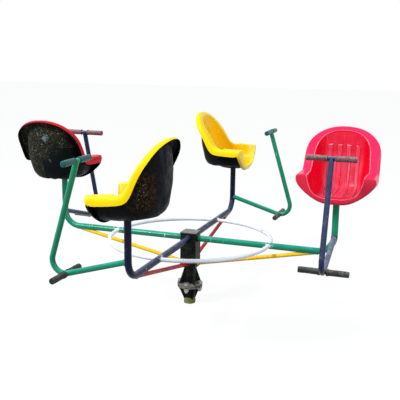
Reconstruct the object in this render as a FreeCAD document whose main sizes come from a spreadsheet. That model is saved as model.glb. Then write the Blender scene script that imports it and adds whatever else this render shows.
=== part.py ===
"""Four-seat playground merry-go-round.

A bolted pedestal carries a fixed spindle.  A square hub turns on it in two ball bearings, and
four bent arms, a tie ring, braces, seats, foot rests and hand grips turn with the hub.

Frame: millimetres, +Z up, origin on the spindle axis at ground level.  Every arm is drawn along
+X with its rider facing -Y, and is then turned about Z to its own quarter.
"""
import FreeCAD, Part
import math
import os
import Sketcher
from FreeCAD import Placement, Rotation, Vector

X_AXIS, Y_AXIS, Z_AXIS = Vector(1, 0, 0), Vector(0, 1, 0), Vector(0, 0, 1)
QUARTERS = {"right": 0, "back": 90, "left": 180, "front": 270}

# Driving sizes (plain numbers) and the places worked out from them (formulas).
SIZES = [
    # whole machine
    ("arm_height", 375, "ground to the arms' axis"),
    ("post_radius", 785, "spindle axis to a seat post's axis"),
    ("fit_gap", 0.05, "radial gap of a fixed round fit"),
    ("run_gap", 0.3, "gap between faces that move past each other"),
    # arms and seat posts, one bent pipe each
    ("arm_od", 33.7, "arm pipe outside diameter"),
    ("arm_wall", 3.2, "arm pipe wall"),
    ("arm_bend", 88, "centre-line radius of the arm's bend"),
    ("post_rise", 290, "arm axis to the post's top"),
    ("arm_outer", "=arm_od / 2", ""),
    ("arm_inner", "=arm_outer - arm_wall", ""),
    ("post_top", "=arm_height + post_rise", ""),
    # hub
    ("hub_side", 90, "square hub tube, outside"),
    ("hub_wall", 6, "hub tube wall"),
    ("hub_corner", 8, "outside corner radius of the hub tube"),
    ("hub_above", 36, "arm axis to the cap's top"),
    ("hub_below", 162, "arm axis to the hub's lower end"),
    ("cap_thick", 4, "hub cap plate"),
    ("hub_half", "=hub_side / 2", ""),
    ("hub_inner_half", "=hub_half - hub_wall", ""),
    ("hub_inner_corner", "=hub_corner - hub_wall", ""),
    ("hub_bottom", "=arm_height - hub_below", ""),
    ("hub_top", "=arm_height + hub_above", ""),
    ("cap_bottom", "=hub_top - cap_thick", ""),
    ("hub_tube_length", "=cap_bottom - hub_bottom", ""),
    # pedestal: ground stub and bolted flange pair
    ("stub_od", 60.3, "ground stub pipe outside diameter"),
    ("stub_wall", 4, "ground stub pipe wall"),
    ("flange_level", 107, "ground to the joint between the flanges"),
    ("flange_radius", 70, "both flanges"),
    ("flange_thick", 10, "each flange"),
    ("flange_bore", 40, "centre hole of the flanges"),
    ("bolt_circle", 115, "pitch circle of the flange bolts"),
    ("bolt_size", 16, "flange bolt diameter"),
    ("bolt_hole_gap", 0.75, "radial gap of a bolt in its hole"),
    ("bolt_spare", 9, "bolt end standing out of its nut"),
    ("bolt_head_height", 10, "flange bolt head"),
    ("bolt_nut_height", 13, "flange nut"),
    ("bolt_flats", 24, "flange bolt head and nut across flats"),
    ("washer_od", 30, "flange washer outside diameter"),
    ("washer_thick", 3, "flange washer"),
    ("gusset_thick", 8, "gusset plate"),
    ("gusset_inset", 4, "gusset toe to the flange's rim"),
    ("gusset_nose", 4, "width of a gusset's narrow end"),
    ("gusset_foot", 25, "ground to the lower gussets' narrow end"),
    ("stub_radius", "=stub_od / 2", ""),
    ("stub_inner", "=stub_radius - stub_wall", ""),
    ("flange_under", "=flange_level - flange_thick", ""),
    ("flange_over", "=flange_level + flange_thick", ""),
    ("flange_bore_radius", "=flange_bore / 2", ""),
    ("bolt_radius", "=bolt_size / 2", ""),
    ("bolt_hole_radius", "=bolt_radius + bolt_hole_gap", ""),
    ("bolt_circle_radius", "=bolt_circle / 2", ""),
    ("bolt_corner_radius", "=bolt_flats / 2 / cos(30)", ""),
    ("washer_radius", "=washer_od / 2", ""),
    ("head_seat", "=flange_over + washer_thick", ""),
    ("nut_seat", "=flange_under - washer_thick", ""),
    ("nut_bottom", "=nut_seat - bolt_nut_height", ""),
    ("bolt_end", "=nut_bottom - bolt_spare", ""),
    ("bolt_length", "=head_seat - bolt_end", ""),
    ("gusset_toe", "=flange_radius - gusset_inset", ""),
    ("lower_nose", "=stub_radius + gusset_nose", ""),
    # spindle
    ("neck_od", 60, "spindle neck between flange and hub"),
    ("neck_gap", 8, "neck's top to the hub's lower end"),
    ("shoulder_od", 44, "shoulder under the lower bearing"),
    ("thread_od", 30, "spindle thread"),
    ("thread_spare", 7, "spindle end above its nut"),
    ("end_chamfer", 1.5, "spindle end"),
    ("spindle_nut_height", 18, "castle nut"),
    ("spindle_nut_flats", 46, "castle nut across flats"),
    ("castle_depth", 6, "castle nut slots"),
    ("castle_width", 6, "castle nut slots"),
    ("pin_diameter", 5, "cotter pin"),
    ("pin_length", 56, "cotter pin"),
    ("spindle_washer_od", 52, "washer under the castle nut"),
    ("spindle_washer_thick", 4, "washer under the castle nut"),
    ("neck_radius", "=neck_od / 2", ""),
    ("neck_top", "=hub_bottom - neck_gap", ""),
    ("upper_nose", "=neck_radius + gusset_nose", ""),
    ("shoulder_radius", "=shoulder_od / 2", ""),
    ("thread_radius", "=thread_od / 2", ""),
    ("thread_bore", "=thread_radius + fit_gap", ""),
    ("spindle_washer_radius", "=spindle_washer_od / 2", ""),
    ("pin_radius", "=pin_diameter / 2", ""),
    ("pin_hole_radius", "=pin_radius + fit_gap", ""),
    ("pin_half", "=pin_length / 2", ""),
    # ball bearings and their seats in the hub
    ("bearing_bore", 35, "bearing inside diameter"),
    ("bearing_od", 72, "bearing outside diameter"),
    ("bearing_width", 17, "bearing width"),
    ("ball_diameter", 11.1, "bearing ball"),
    ("ring_shoulder", 3.3, "race edge to the balls' pitch circle"),
    ("cage_thick", 3, "ball cage, radially"),
    ("cage_width", 13.6, "ball cage along the axis"),
    ("lower_bearing_up", 13, "hub's lower end to the lower bearing"),
    ("upper_bearing_down", 67, "cap to the upper bearing's lower face"),
    ("seat_lip", 7, "shoulder of a bearing seat block"),
    ("seat_lip_bore", 56, "bore through that shoulder"),
    ("seat_block_edge", 3, "hub's lower end to the lower seat block"),
    ("seat_block_chamfer", 4, "corners of the seat blocks"),
    ("seal_thick", 6, "hub seal"),
    ("seal_gap", 1, "seat block's face to the seal"),
    ("shaft_radius", "=bearing_bore / 2", ""),
    ("race_bore", "=shaft_radius + fit_gap", ""),
    ("race_outside", "=bearing_od / 2", ""),
    ("block_bore", "=race_outside + fit_gap", ""),
    ("ball_radius", "=ball_diameter / 2", ""),
    ("groove_radius", "=ball_radius + run_gap", ""),
    ("ball_pocket_radius", "=ball_radius + run_gap / 2", ""),
    ("ball_pitch_radius", "=(bearing_bore + bearing_od) / 4", ""),
    ("inner_race_edge", "=ball_pitch_radius - ring_shoulder", ""),
    ("outer_race_edge", "=ball_pitch_radius + ring_shoulder", ""),
    ("cage_inside", "=ball_pitch_radius - cage_thick / 2", ""),
    ("cage_outside", "=ball_pitch_radius + cage_thick / 2", ""),
    ("cage_half", "=cage_width / 2", ""),
    ("lower_bearing_low", "=hub_bottom + lower_bearing_up", ""),
    ("lower_bearing_high", "=lower_bearing_low + bearing_width", ""),
    ("upper_bearing_low", "=cap_bottom - upper_bearing_down", ""),
    ("upper_bearing_high", "=upper_bearing_low + bearing_width", ""),
    ("lower_ball_level", "=lower_bearing_low + bearing_width / 2", ""),
    ("upper_ball_level", "=upper_bearing_low + bearing_width / 2", ""),
    ("lower_block_low", "=hub_bottom + seat_block_edge", ""),
    ("lower_block_high", "=lower_bearing_high + seat_lip", ""),
    ("upper_block_low", "=upper_bearing_low - seat_lip", ""),
    ("upper_block_high", "=upper_bearing_high + seat_lip", ""),
    ("seat_lip_radius", "=seat_lip_bore / 2", ""),
    ("seal_low", "=lower_block_low + seal_gap", ""),
    ("seal_high", "=seal_low + seal_thick", ""),
    ("seal_bore", "=shoulder_radius + run_gap", ""),
    ("spindle_nut_low", "=upper_bearing_high + spindle_washer_thick", ""),
    ("spindle_nut_high", "=spindle_nut_low + spindle_nut_height", ""),
    ("spindle_nut_corner", "=spindle_nut_flats / 2 / cos(30)", ""),
    ("pin_level", "=spindle_nut_high - castle_depth / 2", ""),
    ("castle_floor", "=spindle_nut_high - castle_depth", ""),
    ("castle_half", "=castle_width / 2", ""),
    ("spindle_end", "=spindle_nut_high + thread_spare", ""),
    ("spindle_end_edge", "=spindle_end - end_chamfer", ""),
    ("spindle_end_radius", "=thread_radius - end_chamfer", ""),
    # braces
    ("brace_od", 21.3, "brace pipe outside diameter"),
    ("brace_wall", 2.6, "brace pipe wall"),
    ("brace_drop", 150, "arm axis down to the brace on the hub's face"),
    ("brace_reach", 735, "spindle axis to where brace and arm axes meet"),
    ("brace_outer", "=brace_od / 2", ""),
    ("brace_inner", "=brace_outer - brace_wall", ""),
    ("brace_low", "=arm_height - brace_drop", ""),
    # tie ring
    ("ring_radius", 442, "tie ring centre line"),
    ("ring_od", 21.3, "tie ring pipe outside diameter"),
    ("ring_wall", 2.6, "tie ring pipe wall"),
    ("ring_outer", "=ring_od / 2", ""),
    ("ring_inner", "=ring_outer - ring_wall", ""),
    # foot and handle tubes
    ("handle_od", 26.9, "handle tube outside diameter"),
    ("handle_wall", 2.6, "handle tube wall"),
    ("handle_bend", 62, "centre-line radius of its bend"),
    ("handle_start", 85, "arm axis up to where it leaves the post"),
    ("handle_reach", 416, "post axis forward to the point of the bend"),
    ("handle_drop", 38, "arm axis down to the point of the bend"),
    ("handle_back", 245, "post axis forward to the hand bar"),
    ("handle_rise", 520, "arm axis up to the hand bar"),
    ("foot_reach", 316, "post axis forward to the foot bar"),
    ("foot_bar_od", 20, "foot bar"),
    ("foot_bar_half", 116, "half the foot bar"),
    ("sleeve_thick", 5, "rubber sleeve on the foot bar"),
    ("sleeve_end", 4, "closed end of a sleeve"),
    ("hand_bar_od", 21.3, "hand bar pipe outside diameter"),
    ("hand_bar_wall", 2, "hand bar pipe wall"),
    ("hand_bar_half", 114, "half the hand bar"),
    ("grip_thick", 3.8, "rubber of a hand grip"),
    ("grip_end", 4, "closed end of a hand grip"),
    ("grip_inset", 19, "middle of the hand bar to a grip"),
    ("handle_outer", "=handle_od / 2", ""),
    ("handle_inner", "=handle_outer - handle_wall", ""),
    ("handle_start_level", "=arm_height + handle_start", ""),
    ("handle_low_level", "=arm_height - handle_drop", ""),
    ("handle_top_level", "=arm_height + handle_rise", ""),
    ("foot_share", "=foot_reach / handle_reach", "foot bar's place along the lower run"),
    ("foot_level", "=handle_start_level - foot_share * (handle_start + handle_drop)", ""),
    ("foot_bar_radius", "=foot_bar_od / 2", ""),
    ("sleeve_bore", "=foot_bar_radius + fit_gap", ""),
    ("sleeve_radius", "=sleeve_bore + sleeve_thick", ""),
    ("sleeve_start", "=handle_outer + fit_gap", ""),
    ("sleeve_tip", "=foot_bar_half + sleeve_end", ""),
    ("hand_bar_outer", "=hand_bar_od / 2", ""),
    ("hand_bar_inner", "=hand_bar_outer - hand_bar_wall", ""),
    ("grip_bore", "=hand_bar_outer + fit_gap", ""),
    ("grip_radius", "=grip_bore + grip_thick", ""),
    ("grip_tip", "=hand_bar_half + grip_end", ""),
    # seat plates and their bolts, their heights measured from a post's top
    ("front_seat_lean", 4, "degrees the front seat leans forward on its post"),
    ("plate_side", 120, "square plate on a post's top"),
    ("plate_thick", 8, "that plate"),
    ("plate_corner", 10, "corner radius of that plate"),
    ("seat_bolt_spacing", 84, "square of four seat bolts"),
    ("seat_bolt_size", 8, "seat bolt diameter"),
    ("seat_bolt_hole_gap", 0.5, "radial gap of a seat bolt in its hole"),
    ("seat_bolt_head_od", 20, "domed head"),
    ("seat_bolt_head_height", 4.5, "domed head"),
    ("seat_bolt_spare", 4, "bolt end standing out of its nut"),
    ("seat_nut_height", 7, "seat nut"),
    ("seat_nut_flats", 13, "seat nut across flats"),
    ("plate_half", "=plate_side / 2", ""),
    ("pan_top", "=plate_thick + seat_thick", ""),
    ("seat_bolt_offset", "=seat_bolt_spacing / 2", ""),
    ("seat_bolt_radius", "=seat_bolt_size / 2", ""),
    ("seat_bolt_hole_radius", "=seat_bolt_radius + seat_bolt_hole_gap", ""),
    ("seat_bolt_head_radius", "=seat_bolt_head_od / 2", ""),
    ("seat_bolt_head_top", "=pan_top + seat_bolt_head_height", ""),
    ("seat_bolt_head_edge", "=pan_top + seat_bolt_head_height / 3", ""),
    ("seat_bolt_dome_radius", "=seat_bolt_head_radius * 0.6", ""),
    ("seat_nut_corner", "=seat_nut_flats / 2 / cos(30)", ""),
    ("seat_nut_low", "=0 - seat_nut_height", ""),
    ("seat_bolt_end", "=seat_nut_low - seat_bolt_spare", ""),
    # moulded bucket seats
    ("seat_thick", 5, "moulding thickness"),
    ("seat_flange_thick", 4, "thickness of its flange"),
    ("seat_lip_thick", 3.5, "thickness of its turned-down lip"),
    ("front_reach", 100, "post axis to the seat's front"),
    ("back_reach", 224, "post axis to the back of the rim"),
    ("seat_half_width", 198, "half the width over the rim"),
    ("apron_drop", 31, "plate's top down to the apron's lowest point"),
    ("arm_rest_height", 109, "plate's top to the arm rests"),
    ("back_height", 338, "plate's top to the top of the back"),
    ("rim_fold", 9, "size of the rounded folds of the rim"),
    ("lip_depth", 36, "turned-down lip along the arm rests"),
    ("low_bulge", 14, "outward bulge of the bowl's wall near the pan"),
    ("high_bulge", 16, "outward bulge of the bowl's wall near the mouth"),
]

doc = FreeCAD.newDocument("merry_go_round")
sizes = doc.addObject("Spreadsheet::Sheet", "Sizes")
for row, (alias, content, note) in enumerate(SIZES, start=1):
    sizes.set(f"A{row}", alias)
    sizes.set(f"B{row}", str(content))
    sizes.setAlias(f"B{row}", alias)
    sizes.set(f"C{row}", note)
doc.recompute()

nodes = []


def size(term):
    """Present value of a sheet alias, of "-alias", or of a plain number."""
    if not isinstance(term, str):
        return float(term)
    sign = -1.0 if term.startswith("-") else 1.0
    return sign * float(sizes.get(term.lstrip("-")))


def bind(thing, prop, term):
    """Tie a property to a sheet alias or its negative; a plain number is left as it is."""
    if isinstance(term, str):
        thing.setExpression(prop, term.replace("-", "-Sizes.") if "-" in term else "Sizes." + term)


# ---------------------------------------------------------------- sketches and features

def new_body(label, quarter=None):
    body = doc.addObject("PartDesign::Body", label)
    body.Label = label
    if quarter is not None:
        body.Placement = Placement(Vector(), Rotation(Z_AXIS, QUARTERS[quarter]))
    return body


def origin_plane(body, role):
    return next(item for item in body.Origin.OriginFeatures if item.Role == role)


def sketch_on(body, name, role, shift=(0, 0, 0)):
    """Sketch on an origin plane of the body, its own origin shifted in the plane's frame."""
    sketch = body.newObject("Sketcher::SketchObject", name)
    sketch.AttachmentSupport = [(origin_plane(body, role), "")]
    sketch.MapMode = "FlatFace"
    sketch.AttachmentOffset = Placement(Vector(*[size(term) for term in shift]), Rotation())
    for letter, term in zip("xyz", shift):
        bind(sketch, f"AttachmentOffset.Base.{letter}", term)
    return sketch


def hold(sketch, kind, *args, term):
    """Add a dimension to a sketch and tie it to the sheet."""
    index = sketch.addConstraint(Sketcher.Constraint(kind, *args, size(term)))
    bind(sketch, f"Constraints[{index}]", term)


def hold_point(sketch, geometry, point, across, up):
    hold(sketch, "DistanceX", -1, 1, geometry, point, term=across)
    hold(sketch, "DistanceY", -1, 1, geometry, point, term=up)


def draw_circle(sketch, radius, across=0, up=0):
    centre = Vector(size(across), size(up), 0)
    circle = sketch.addGeometry(Part.Circle(centre, Z_AXIS, size(radius)))
    hold(sketch, "Radius", circle, term=radius)
    hold_point(sketch, circle, 3, across, up)


def draw_polygon(sketch, corners):
    """Closed outline whose every corner is held by two sheet values."""
    points = [Vector(size(across), size(up), 0) for across, up in corners]
    first = sketch.GeometryCount
    for start, end in zip(points, points[1:] + points[:1]):
        sketch.addGeometry(Part.LineSegment(start, end))
    count = len(points)
    for index, (across, up) in enumerate(corners):
        previous = first + (index - 1) % count
        sketch.addConstraint(Sketcher.Constraint("Coincident", previous, 2, first + index, 1))
        hold_point(sketch, first + index, 1, across, up)


def draw_bent_line(sketch, start, corner, end, bend):
    """Two straight runs joined by a tangent arc; each point is a pair of sheet values."""
    a, c, b = [Vector(size(across), size(up), 0) for across, up in (start, corner, end)]
    back, ahead = (a - c).normalize(), (b - c).normalize()
    half_angle = back.getAngle(ahead) / 2
    radius = size(bend)
    tangent = radius / math.tan(half_angle)
    first_touch, last_touch = c + back * tangent, c + ahead * tangent
    bisector = (back + ahead).normalize()
    centre = c + bisector * (radius / math.sin(half_angle))
    middle = centre - bisector * radius
    run_in = sketch.addGeometry(Part.LineSegment(a, first_touch))
    arc = sketch.addGeometry(Part.Arc(first_touch, middle, last_touch))
    run_out = sketch.addGeometry(Part.LineSegment(last_touch, b))
    arc_start = 1 if sketch.getPoint(arc, 1).distanceToPoint(first_touch) < radius / 100 else 2
    sketch.addConstraint(Sketcher.Constraint("Tangent", run_in, 2, arc, arc_start))
    sketch.addConstraint(Sketcher.Constraint("Tangent", arc, 3 - arc_start, run_out, 1))
    hold(sketch, "Radius", arc, term=bend)
    hold_point(sketch, run_in, 1, *start)
    hold_point(sketch, run_out, 2, *end)
    apex = sketch.addGeometry(Part.Point(c), True)
    hold_point(sketch, apex, 1, *corner)
    sketch.addConstraint(Sketcher.Constraint("PointOnObject", apex, 1, run_in))
    sketch.addConstraint(Sketcher.Constraint("PointOnObject", apex, 1, run_out))


def pipe_along(body, path, *radii, kind="PartDesign::AdditivePipe"):
    """Sweep round outlines along a path sketch that starts at its first vertex."""
    section = body.newObject("Sketcher::SketchObject", path.Name + "_section")
    section.AttachmentSupport = [(path, "Edge1"), (path, "Vertex1")]
    section.MapMode = "NormalToEdge"
    for radius in radii:
        draw_circle(section, radius)
    doc.recompute()
    pipe = body.newObject(kind, "pipe")
    pipe.Profile = section
    pipe.Spine = (path, [""])
    return pipe


def turned(body, name, corners, role="XZ_Plane", axis="V_Axis", shift=(0, 0, 0), angle=360,
           kind="PartDesign::Revolution"):
    """Turn a closed outline about one axis of its own sketch; a Groove cuts it instead."""
    sketch = sketch_on(body, name + "_outline", role, shift)
    draw_polygon(sketch, corners)
    feature = body.newObject(kind, name)
    feature.Profile = sketch
    feature.ReferenceAxis = (sketch, [axis])
    feature.Angle = angle
    return feature


def padded(body, name, sketch, length):
    feature = body.newObject("PartDesign::Pad", name)
    feature.Profile = sketch
    feature.Length = size(length)
    bind(feature, "Length", length)
    return feature


def cut_cylinder(body, name, radius, along, place, length):
    """Cut a cylinder centred on a place, its axis along one of the body's axes."""
    cutter = body.newObject("PartDesign::SubtractiveCylinder", name)
    cutter.Radius = size(radius)
    bind(cutter, "Radius", radius)
    cutter.Height = 2 * size(length)
    if isinstance(length, str):
        cutter.setExpression("Height", f"2 * Sizes.{length}")
    turn = {"x": Rotation(Y_AXIS, 90), "y": Rotation(X_AXIS, -90), "z": Rotation()}[along]
    base = Vector(*[size(term) for term in place])
    index = "xyz".index(along)
    base[index] -= size(length)
    cutter.Placement = Placement(base, turn)
    for letter, term in zip("xyz", place):
        if letter != along:
            bind(cutter, f"Placement.Base.{letter}", term)
        elif isinstance(length, str):
            start = f"Sizes.{term} - " if isinstance(term, str) else ""
            cutter.setExpression(f"Placement.Base.{letter}", f"{start or '-'}Sizes.{length}")
    return cutter


def polar_copies(body, feature, count):
    pattern = body.newObject("PartDesign::PolarPattern", feature.Name + "_pattern")
    pattern.Originals = [feature]
    pattern.Axis = (origin_plane(body, "Z_Axis"), [""])
    pattern.Angle = 360
    pattern.Occurrences = count
    body.Tip = pattern
    return pattern


def upright_edges(shape, reach):
    """Names of the Z-parallel straight edges that stand at the given distance in X and in Y."""
    names = []
    for index, edge in enumerate(shape.Edges, start=1):
        ends = [vertex.Point for vertex in edge.Vertexes]
        if len(ends) != 2:
            continue
        rise = ends[1] - ends[0]
        middle = (ends[0] + ends[1]) / 2
        is_upright = math.hypot(rise.x, rise.y) < 0.001
        if is_upright and max(abs(abs(middle.x) - reach), abs(abs(middle.y) - reach)) < 0.001:
            names.append(f"Edge{index}")
    return names


def dress_corners(body, base, kind, reach, amount):
    """Fillet or chamfer the four upright corners that stand at the given reach."""
    doc.recompute()
    feature = body.newObject("PartDesign::" + kind, kind.lower())
    feature.Base = (base, upright_edges(base.Shape, size(reach)))
    prop = "Radius" if kind == "Fillet" else "Size"
    setattr(feature, prop, size(amount))
    bind(feature, prop, amount)
    return feature


def square_outline(sketch, half):
    low = "-" + half
    draw_polygon(sketch, [(low, low), (half, low), (half, half), (low, half)])


def gather(label, pieces):
    """One node that holds several separate, like pieces."""
    group = doc.addObject("Part::Compound", label)
    group.Label = label
    group.Links = pieces
    nodes.append(group)
    return group


def node(piece):
    nodes.append(piece)
    return piece


# ---------------------------------------------------------------- pedestal

def make_ground_stub():
    body = node(new_body("ground_stub"))
    turned(body, "pipe", [("stub_inner", 0), ("stub_radius", 0),
                          ("stub_radius", "flange_under"), ("stub_inner", "flange_under")])


def make_flange(label, low, high):
    body = node(new_body(label))
    turned(body, "disc", [("flange_bore_radius", low), ("flange_radius", low),
                          ("flange_radius", high), ("flange_bore_radius", high)])
    doc.recompute()
    hole = cut_cylinder(body, "bolt_hole", "bolt_hole_radius", "z",
                        ("bolt_circle_radius", 0, "flange_level"), "flange_radius")
    polar_copies(body, hole, len(QUARTERS))


def make_gussets(label, corners):
    """Four plates standing between the bolts."""
    plates = []
    for quarter, angle in QUARTERS.items():
        body = new_body(f"{label}_{quarter}")
        body.Placement = Placement(Vector(), Rotation(Z_AXIS, angle + 45))
        sketch = sketch_on(body, "outline", "XZ_Plane")
        draw_polygon(sketch, corners)
        plate = padded(body, "plate", sketch, "gusset_thick")
        plate.SideType = "Symmetric"
        plates.append(body)
    gather(label, plates)


def hexagon_prism(label, corner_radius, low, height):
    prism = doc.addObject("Part::Prism", label)
    prism.Polygon = 6
    prism.Circumradius = size(corner_radius)
    bind(prism, "Circumradius", corner_radius)
    prism.Height = size(height)
    bind(prism, "Height", height)
    prism.Placement.Base.z = size(low)
    bind(prism, "Placement.Base.z", low)
    return prism


def plain_cylinder(label, radius, low, height):
    rod = doc.addObject("Part::Cylinder", label)
    rod.Radius = size(radius)
    bind(rod, "Radius", radius)
    rod.Height = size(height)
    bind(rod, "Height", height)
    rod.Placement.Base.z = size(low)
    bind(rod, "Placement.Base.z", low)
    return rod


def combined(kind, label, base, tool):
    result = doc.addObject("Part::" + kind, label)
    result.Base, result.Tool = base, tool
    return result


def spread_on_flange(label, piece):
    """Copies of one fastener on the flange's bolt circle, kept as separate solids."""
    copies = []
    for quarter, angle in QUARTERS.items():
        link = doc.addObject("App::Link", f"{label}_{quarter}")
        link.LinkedObject = piece
        turn = math.radians(angle)
        for letter, share in (("x", math.cos(turn)), ("y", math.sin(turn))):
            link.setExpression(f"Placement.Base.{letter}",
                               f"{round(share)} * Sizes.bolt_circle_radius")
        copies.append(link)
    gather(label, copies)


def make_flange_fasteners():
    head = hexagon_prism("bolt_head", "bolt_corner_radius", "head_seat", "bolt_head_height")
    shank = plain_cylinder("bolt_shank", "bolt_radius", "bolt_end", "bolt_length")
    spread_on_flange("flange_bolts", combined("Fuse", "flange_bolt", head, shank))

    nut = hexagon_prism("nut_blank", "bolt_corner_radius", "nut_bottom", "bolt_nut_height")
    thread = plain_cylinder("nut_thread", "bolt_radius", "nut_bottom", "bolt_nut_height")
    spread_on_flange("flange_nuts", combined("Cut", "flange_nut", nut, thread))

    rings = []
    for place, low in (("upper", "flange_over"), ("lower", "nut_seat")):
        disc = plain_cylinder(f"{place}_washer_disc", "washer_radius", low, "washer_thick")
        hole = plain_cylinder(f"{place}_washer_hole", "bolt_hole_radius", low, "washer_thick")
        rings.append(combined("Cut", f"{place}_washer", disc, hole))
    pair = doc.addObject("Part::Compound", "washer_pair")
    pair.Links = rings
    spread_on_flange("flange_washers", pair)


def make_spindle():
    body = node(new_body("spindle"))
    turned(body, "bar", [(0, "flange_level"), ("flange_bore_radius", "flange_level"),
                         ("flange_bore_radius", "flange_over"), ("neck_radius", "flange_over"),
                         ("neck_radius", "neck_top"), ("shoulder_radius", "neck_top"),
                         ("shoulder_radius", "lower_bearing_low"),
                         ("shaft_radius", "lower_bearing_low"),
                         ("shaft_radius", "upper_bearing_high"),
                         ("thread_radius", "upper_bearing_high"),
                         ("thread_radius", "spindle_end_edge"),
                         ("spindle_end_radius", "spindle_end"), (0, "spindle_end")])
    doc.recompute()
    cut_cylinder(body, "pin_hole", "pin_hole_radius", "x", (0, 0, "pin_level"), "pin_half")


def make_plain_ring(label, inner, outer, low, high):
    body = node(new_body(label))
    turned(body, "ring", [(inner, low), (outer, low), (outer, high), (inner, high)])
    return body


def make_spindle_nut():
    body = node(new_body("spindle_nut"))
    sketch = sketch_on(body, "hexagon", "XY_Plane", (0, 0, "spindle_nut_low"))
    centre = Vector()
    corner = size("spindle_nut_corner")
    points = [centre + Vector(math.cos(math.radians(60 * turn)), math.sin(math.radians(60 * turn)), 0)
              * corner for turn in range(6)]
    for start, end in zip(points, points[1:] + points[:1]):
        sketch.addGeometry(Part.LineSegment(start, end))
    rim = sketch.addGeometry(Part.Circle(centre, Z_AXIS, corner), True)
    hold(sketch, "Radius", rim, term="spindle_nut_corner")
    hold_point(sketch, rim, 3, 0, 0)
    for turn in range(6):
        sketch.addConstraint(Sketcher.Constraint("Coincident", turn, 2, (turn + 1) % 6, 1))
        sketch.addConstraint(Sketcher.Constraint("PointOnObject", turn, 1, rim))
        if turn:
            sketch.addConstraint(Sketcher.Constraint("Equal", 0, turn))
    sketch.addConstraint(Sketcher.Constraint("PointOnObject", 0, 1, -1))
    padded(body, "blank", sketch, "spindle_nut_height")
    doc.recompute()
    cut_cylinder(body, "thread", "thread_bore", "z", (0, 0, "spindle_nut_low"), "spindle_nut_corner")
    slot_sketch = sketch_on(body, "slot_outline", "YZ_Plane")
    draw_polygon(slot_sketch, [("-castle_half", "castle_floor"), ("castle_half", "castle_floor"),
                               ("castle_half", "spindle_nut_high"),
                               ("-castle_half", "spindle_nut_high")])
    slot = body.newObject("PartDesign::Pocket", "slot")
    slot.Profile = slot_sketch
    slot.Type = "ThroughAll"
    slot.SideType = "Symmetric"
    doc.recompute()
    polar_copies(body, slot, 6)


def make_cotter_pin():
    body = node(new_body("cotter_pin"))
    turned(body, "pin", [("-pin_half", 0), ("pin_half", 0), ("pin_half", "pin_radius"),
                         ("-pin_half", "pin_radius")], axis="H_Axis", shift=(0, "pin_level", 0))


# ---------------------------------------------------------------- bearings

def make_race(label, inner, outer, low, high, ball_level):
    """Bearing ring with its ball groove."""
    body = make_plain_ring(label, inner, outer, low, high)
    doc.recompute()
    section = sketch_on(body, "groove_section", "XZ_Plane")
    draw_circle(section, "groove_radius", "ball_pitch_radius", ball_level)
    groove = body.newObject("PartDesign::Groove", "groove")
    groove.Profile = section
    groove.ReferenceAxis = (section, ["V_Axis"])
    groove.Angle = 360


BALL_COUNT = 9


def make_balls(label, level):
    """Balls and the cage that spaces them."""
    balls = []
    for index in range(BALL_COUNT):
        turn = f"{360 / BALL_COUNT * index:.3f} deg"
        ball = doc.addObject("Part::Sphere", f"{label}_ball")
        ball.Radius = size("ball_radius")
        bind(ball, "Radius", "ball_radius")
        ball.setExpression("Placement.Base.x", f"Sizes.ball_pitch_radius * cos({turn})")
        ball.setExpression("Placement.Base.y", f"Sizes.ball_pitch_radius * sin({turn})")
        bind(ball, "Placement.Base.z", level)
        balls.append(ball)
    cage = new_body(f"{label}_cage")
    turned(cage, "ring", [("cage_inside", "-cage_half"), ("cage_outside", "-cage_half"),
                          ("cage_outside", "cage_half"), ("cage_inside", "cage_half")],
           shift=(0, level, 0))
    doc.recompute()
    pocket = cut_cylinder(cage, "pocket", "ball_pocket_radius", "x",
                          ("ball_pitch_radius", 0, level), "cage_thick")
    polar_copies(cage, pocket, BALL_COUNT)
    gather(label, balls + [cage])


def make_bearing(place):
    low, high = f"{place}_bearing_low", f"{place}_bearing_high"
    level = f"{place}_ball_level"
    make_race(f"{place}_bearing_inner_ring", "race_bore", "inner_race_edge", low, high, level)
    make_race(f"{place}_bearing_outer_ring", "outer_race_edge", "race_outside", low, high, level)
    make_balls(f"{place}_bearing_balls", level)


# ---------------------------------------------------------------- hub

def make_hub_housing():
    body = node(new_body("hub_housing"))
    sketch = sketch_on(body, "section", "XY_Plane", (0, 0, "hub_bottom"))
    square_outline(sketch, "hub_half")
    square_outline(sketch, "hub_inner_half")
    tube = padded(body, "tube", sketch, "hub_tube_length")
    rounded = dress_corners(body, tube, "Fillet", "hub_half", "hub_corner")
    dress_corners(body, rounded, "Fillet", "hub_inner_half", "hub_inner_corner")


def make_hub_cap():
    body = node(new_body("hub_top_cap"))
    sketch = sketch_on(body, "outline", "XY_Plane", (0, 0, "cap_bottom"))
    square_outline(sketch, "hub_half")
    plate = padded(body, "plate", sketch, "cap_thick")
    dress_corners(body, plate, "Fillet", "hub_half", "hub_corner")


def make_bearing_seat(label, low, high, bore):
    """Square block welded into the hub tube, bored for a bearing against a shoulder."""
    body = node(new_body(label))
    sketch = sketch_on(body, "outline", "XY_Plane", (0, 0, low))
    square_outline(sketch, "hub_inner_half")
    block = body.newObject("PartDesign::Pad", "block")
    block.Profile = sketch
    block.Length = size(high) - size(low)
    block.setExpression("Length", f"Sizes.{high} - Sizes.{low}")
    dress_corners(body, block, "Chamfer", "hub_inner_half", "seat_block_chamfer")
    doc.recompute()
    turned(body, "bore", bore, kind="PartDesign::Groove")


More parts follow.
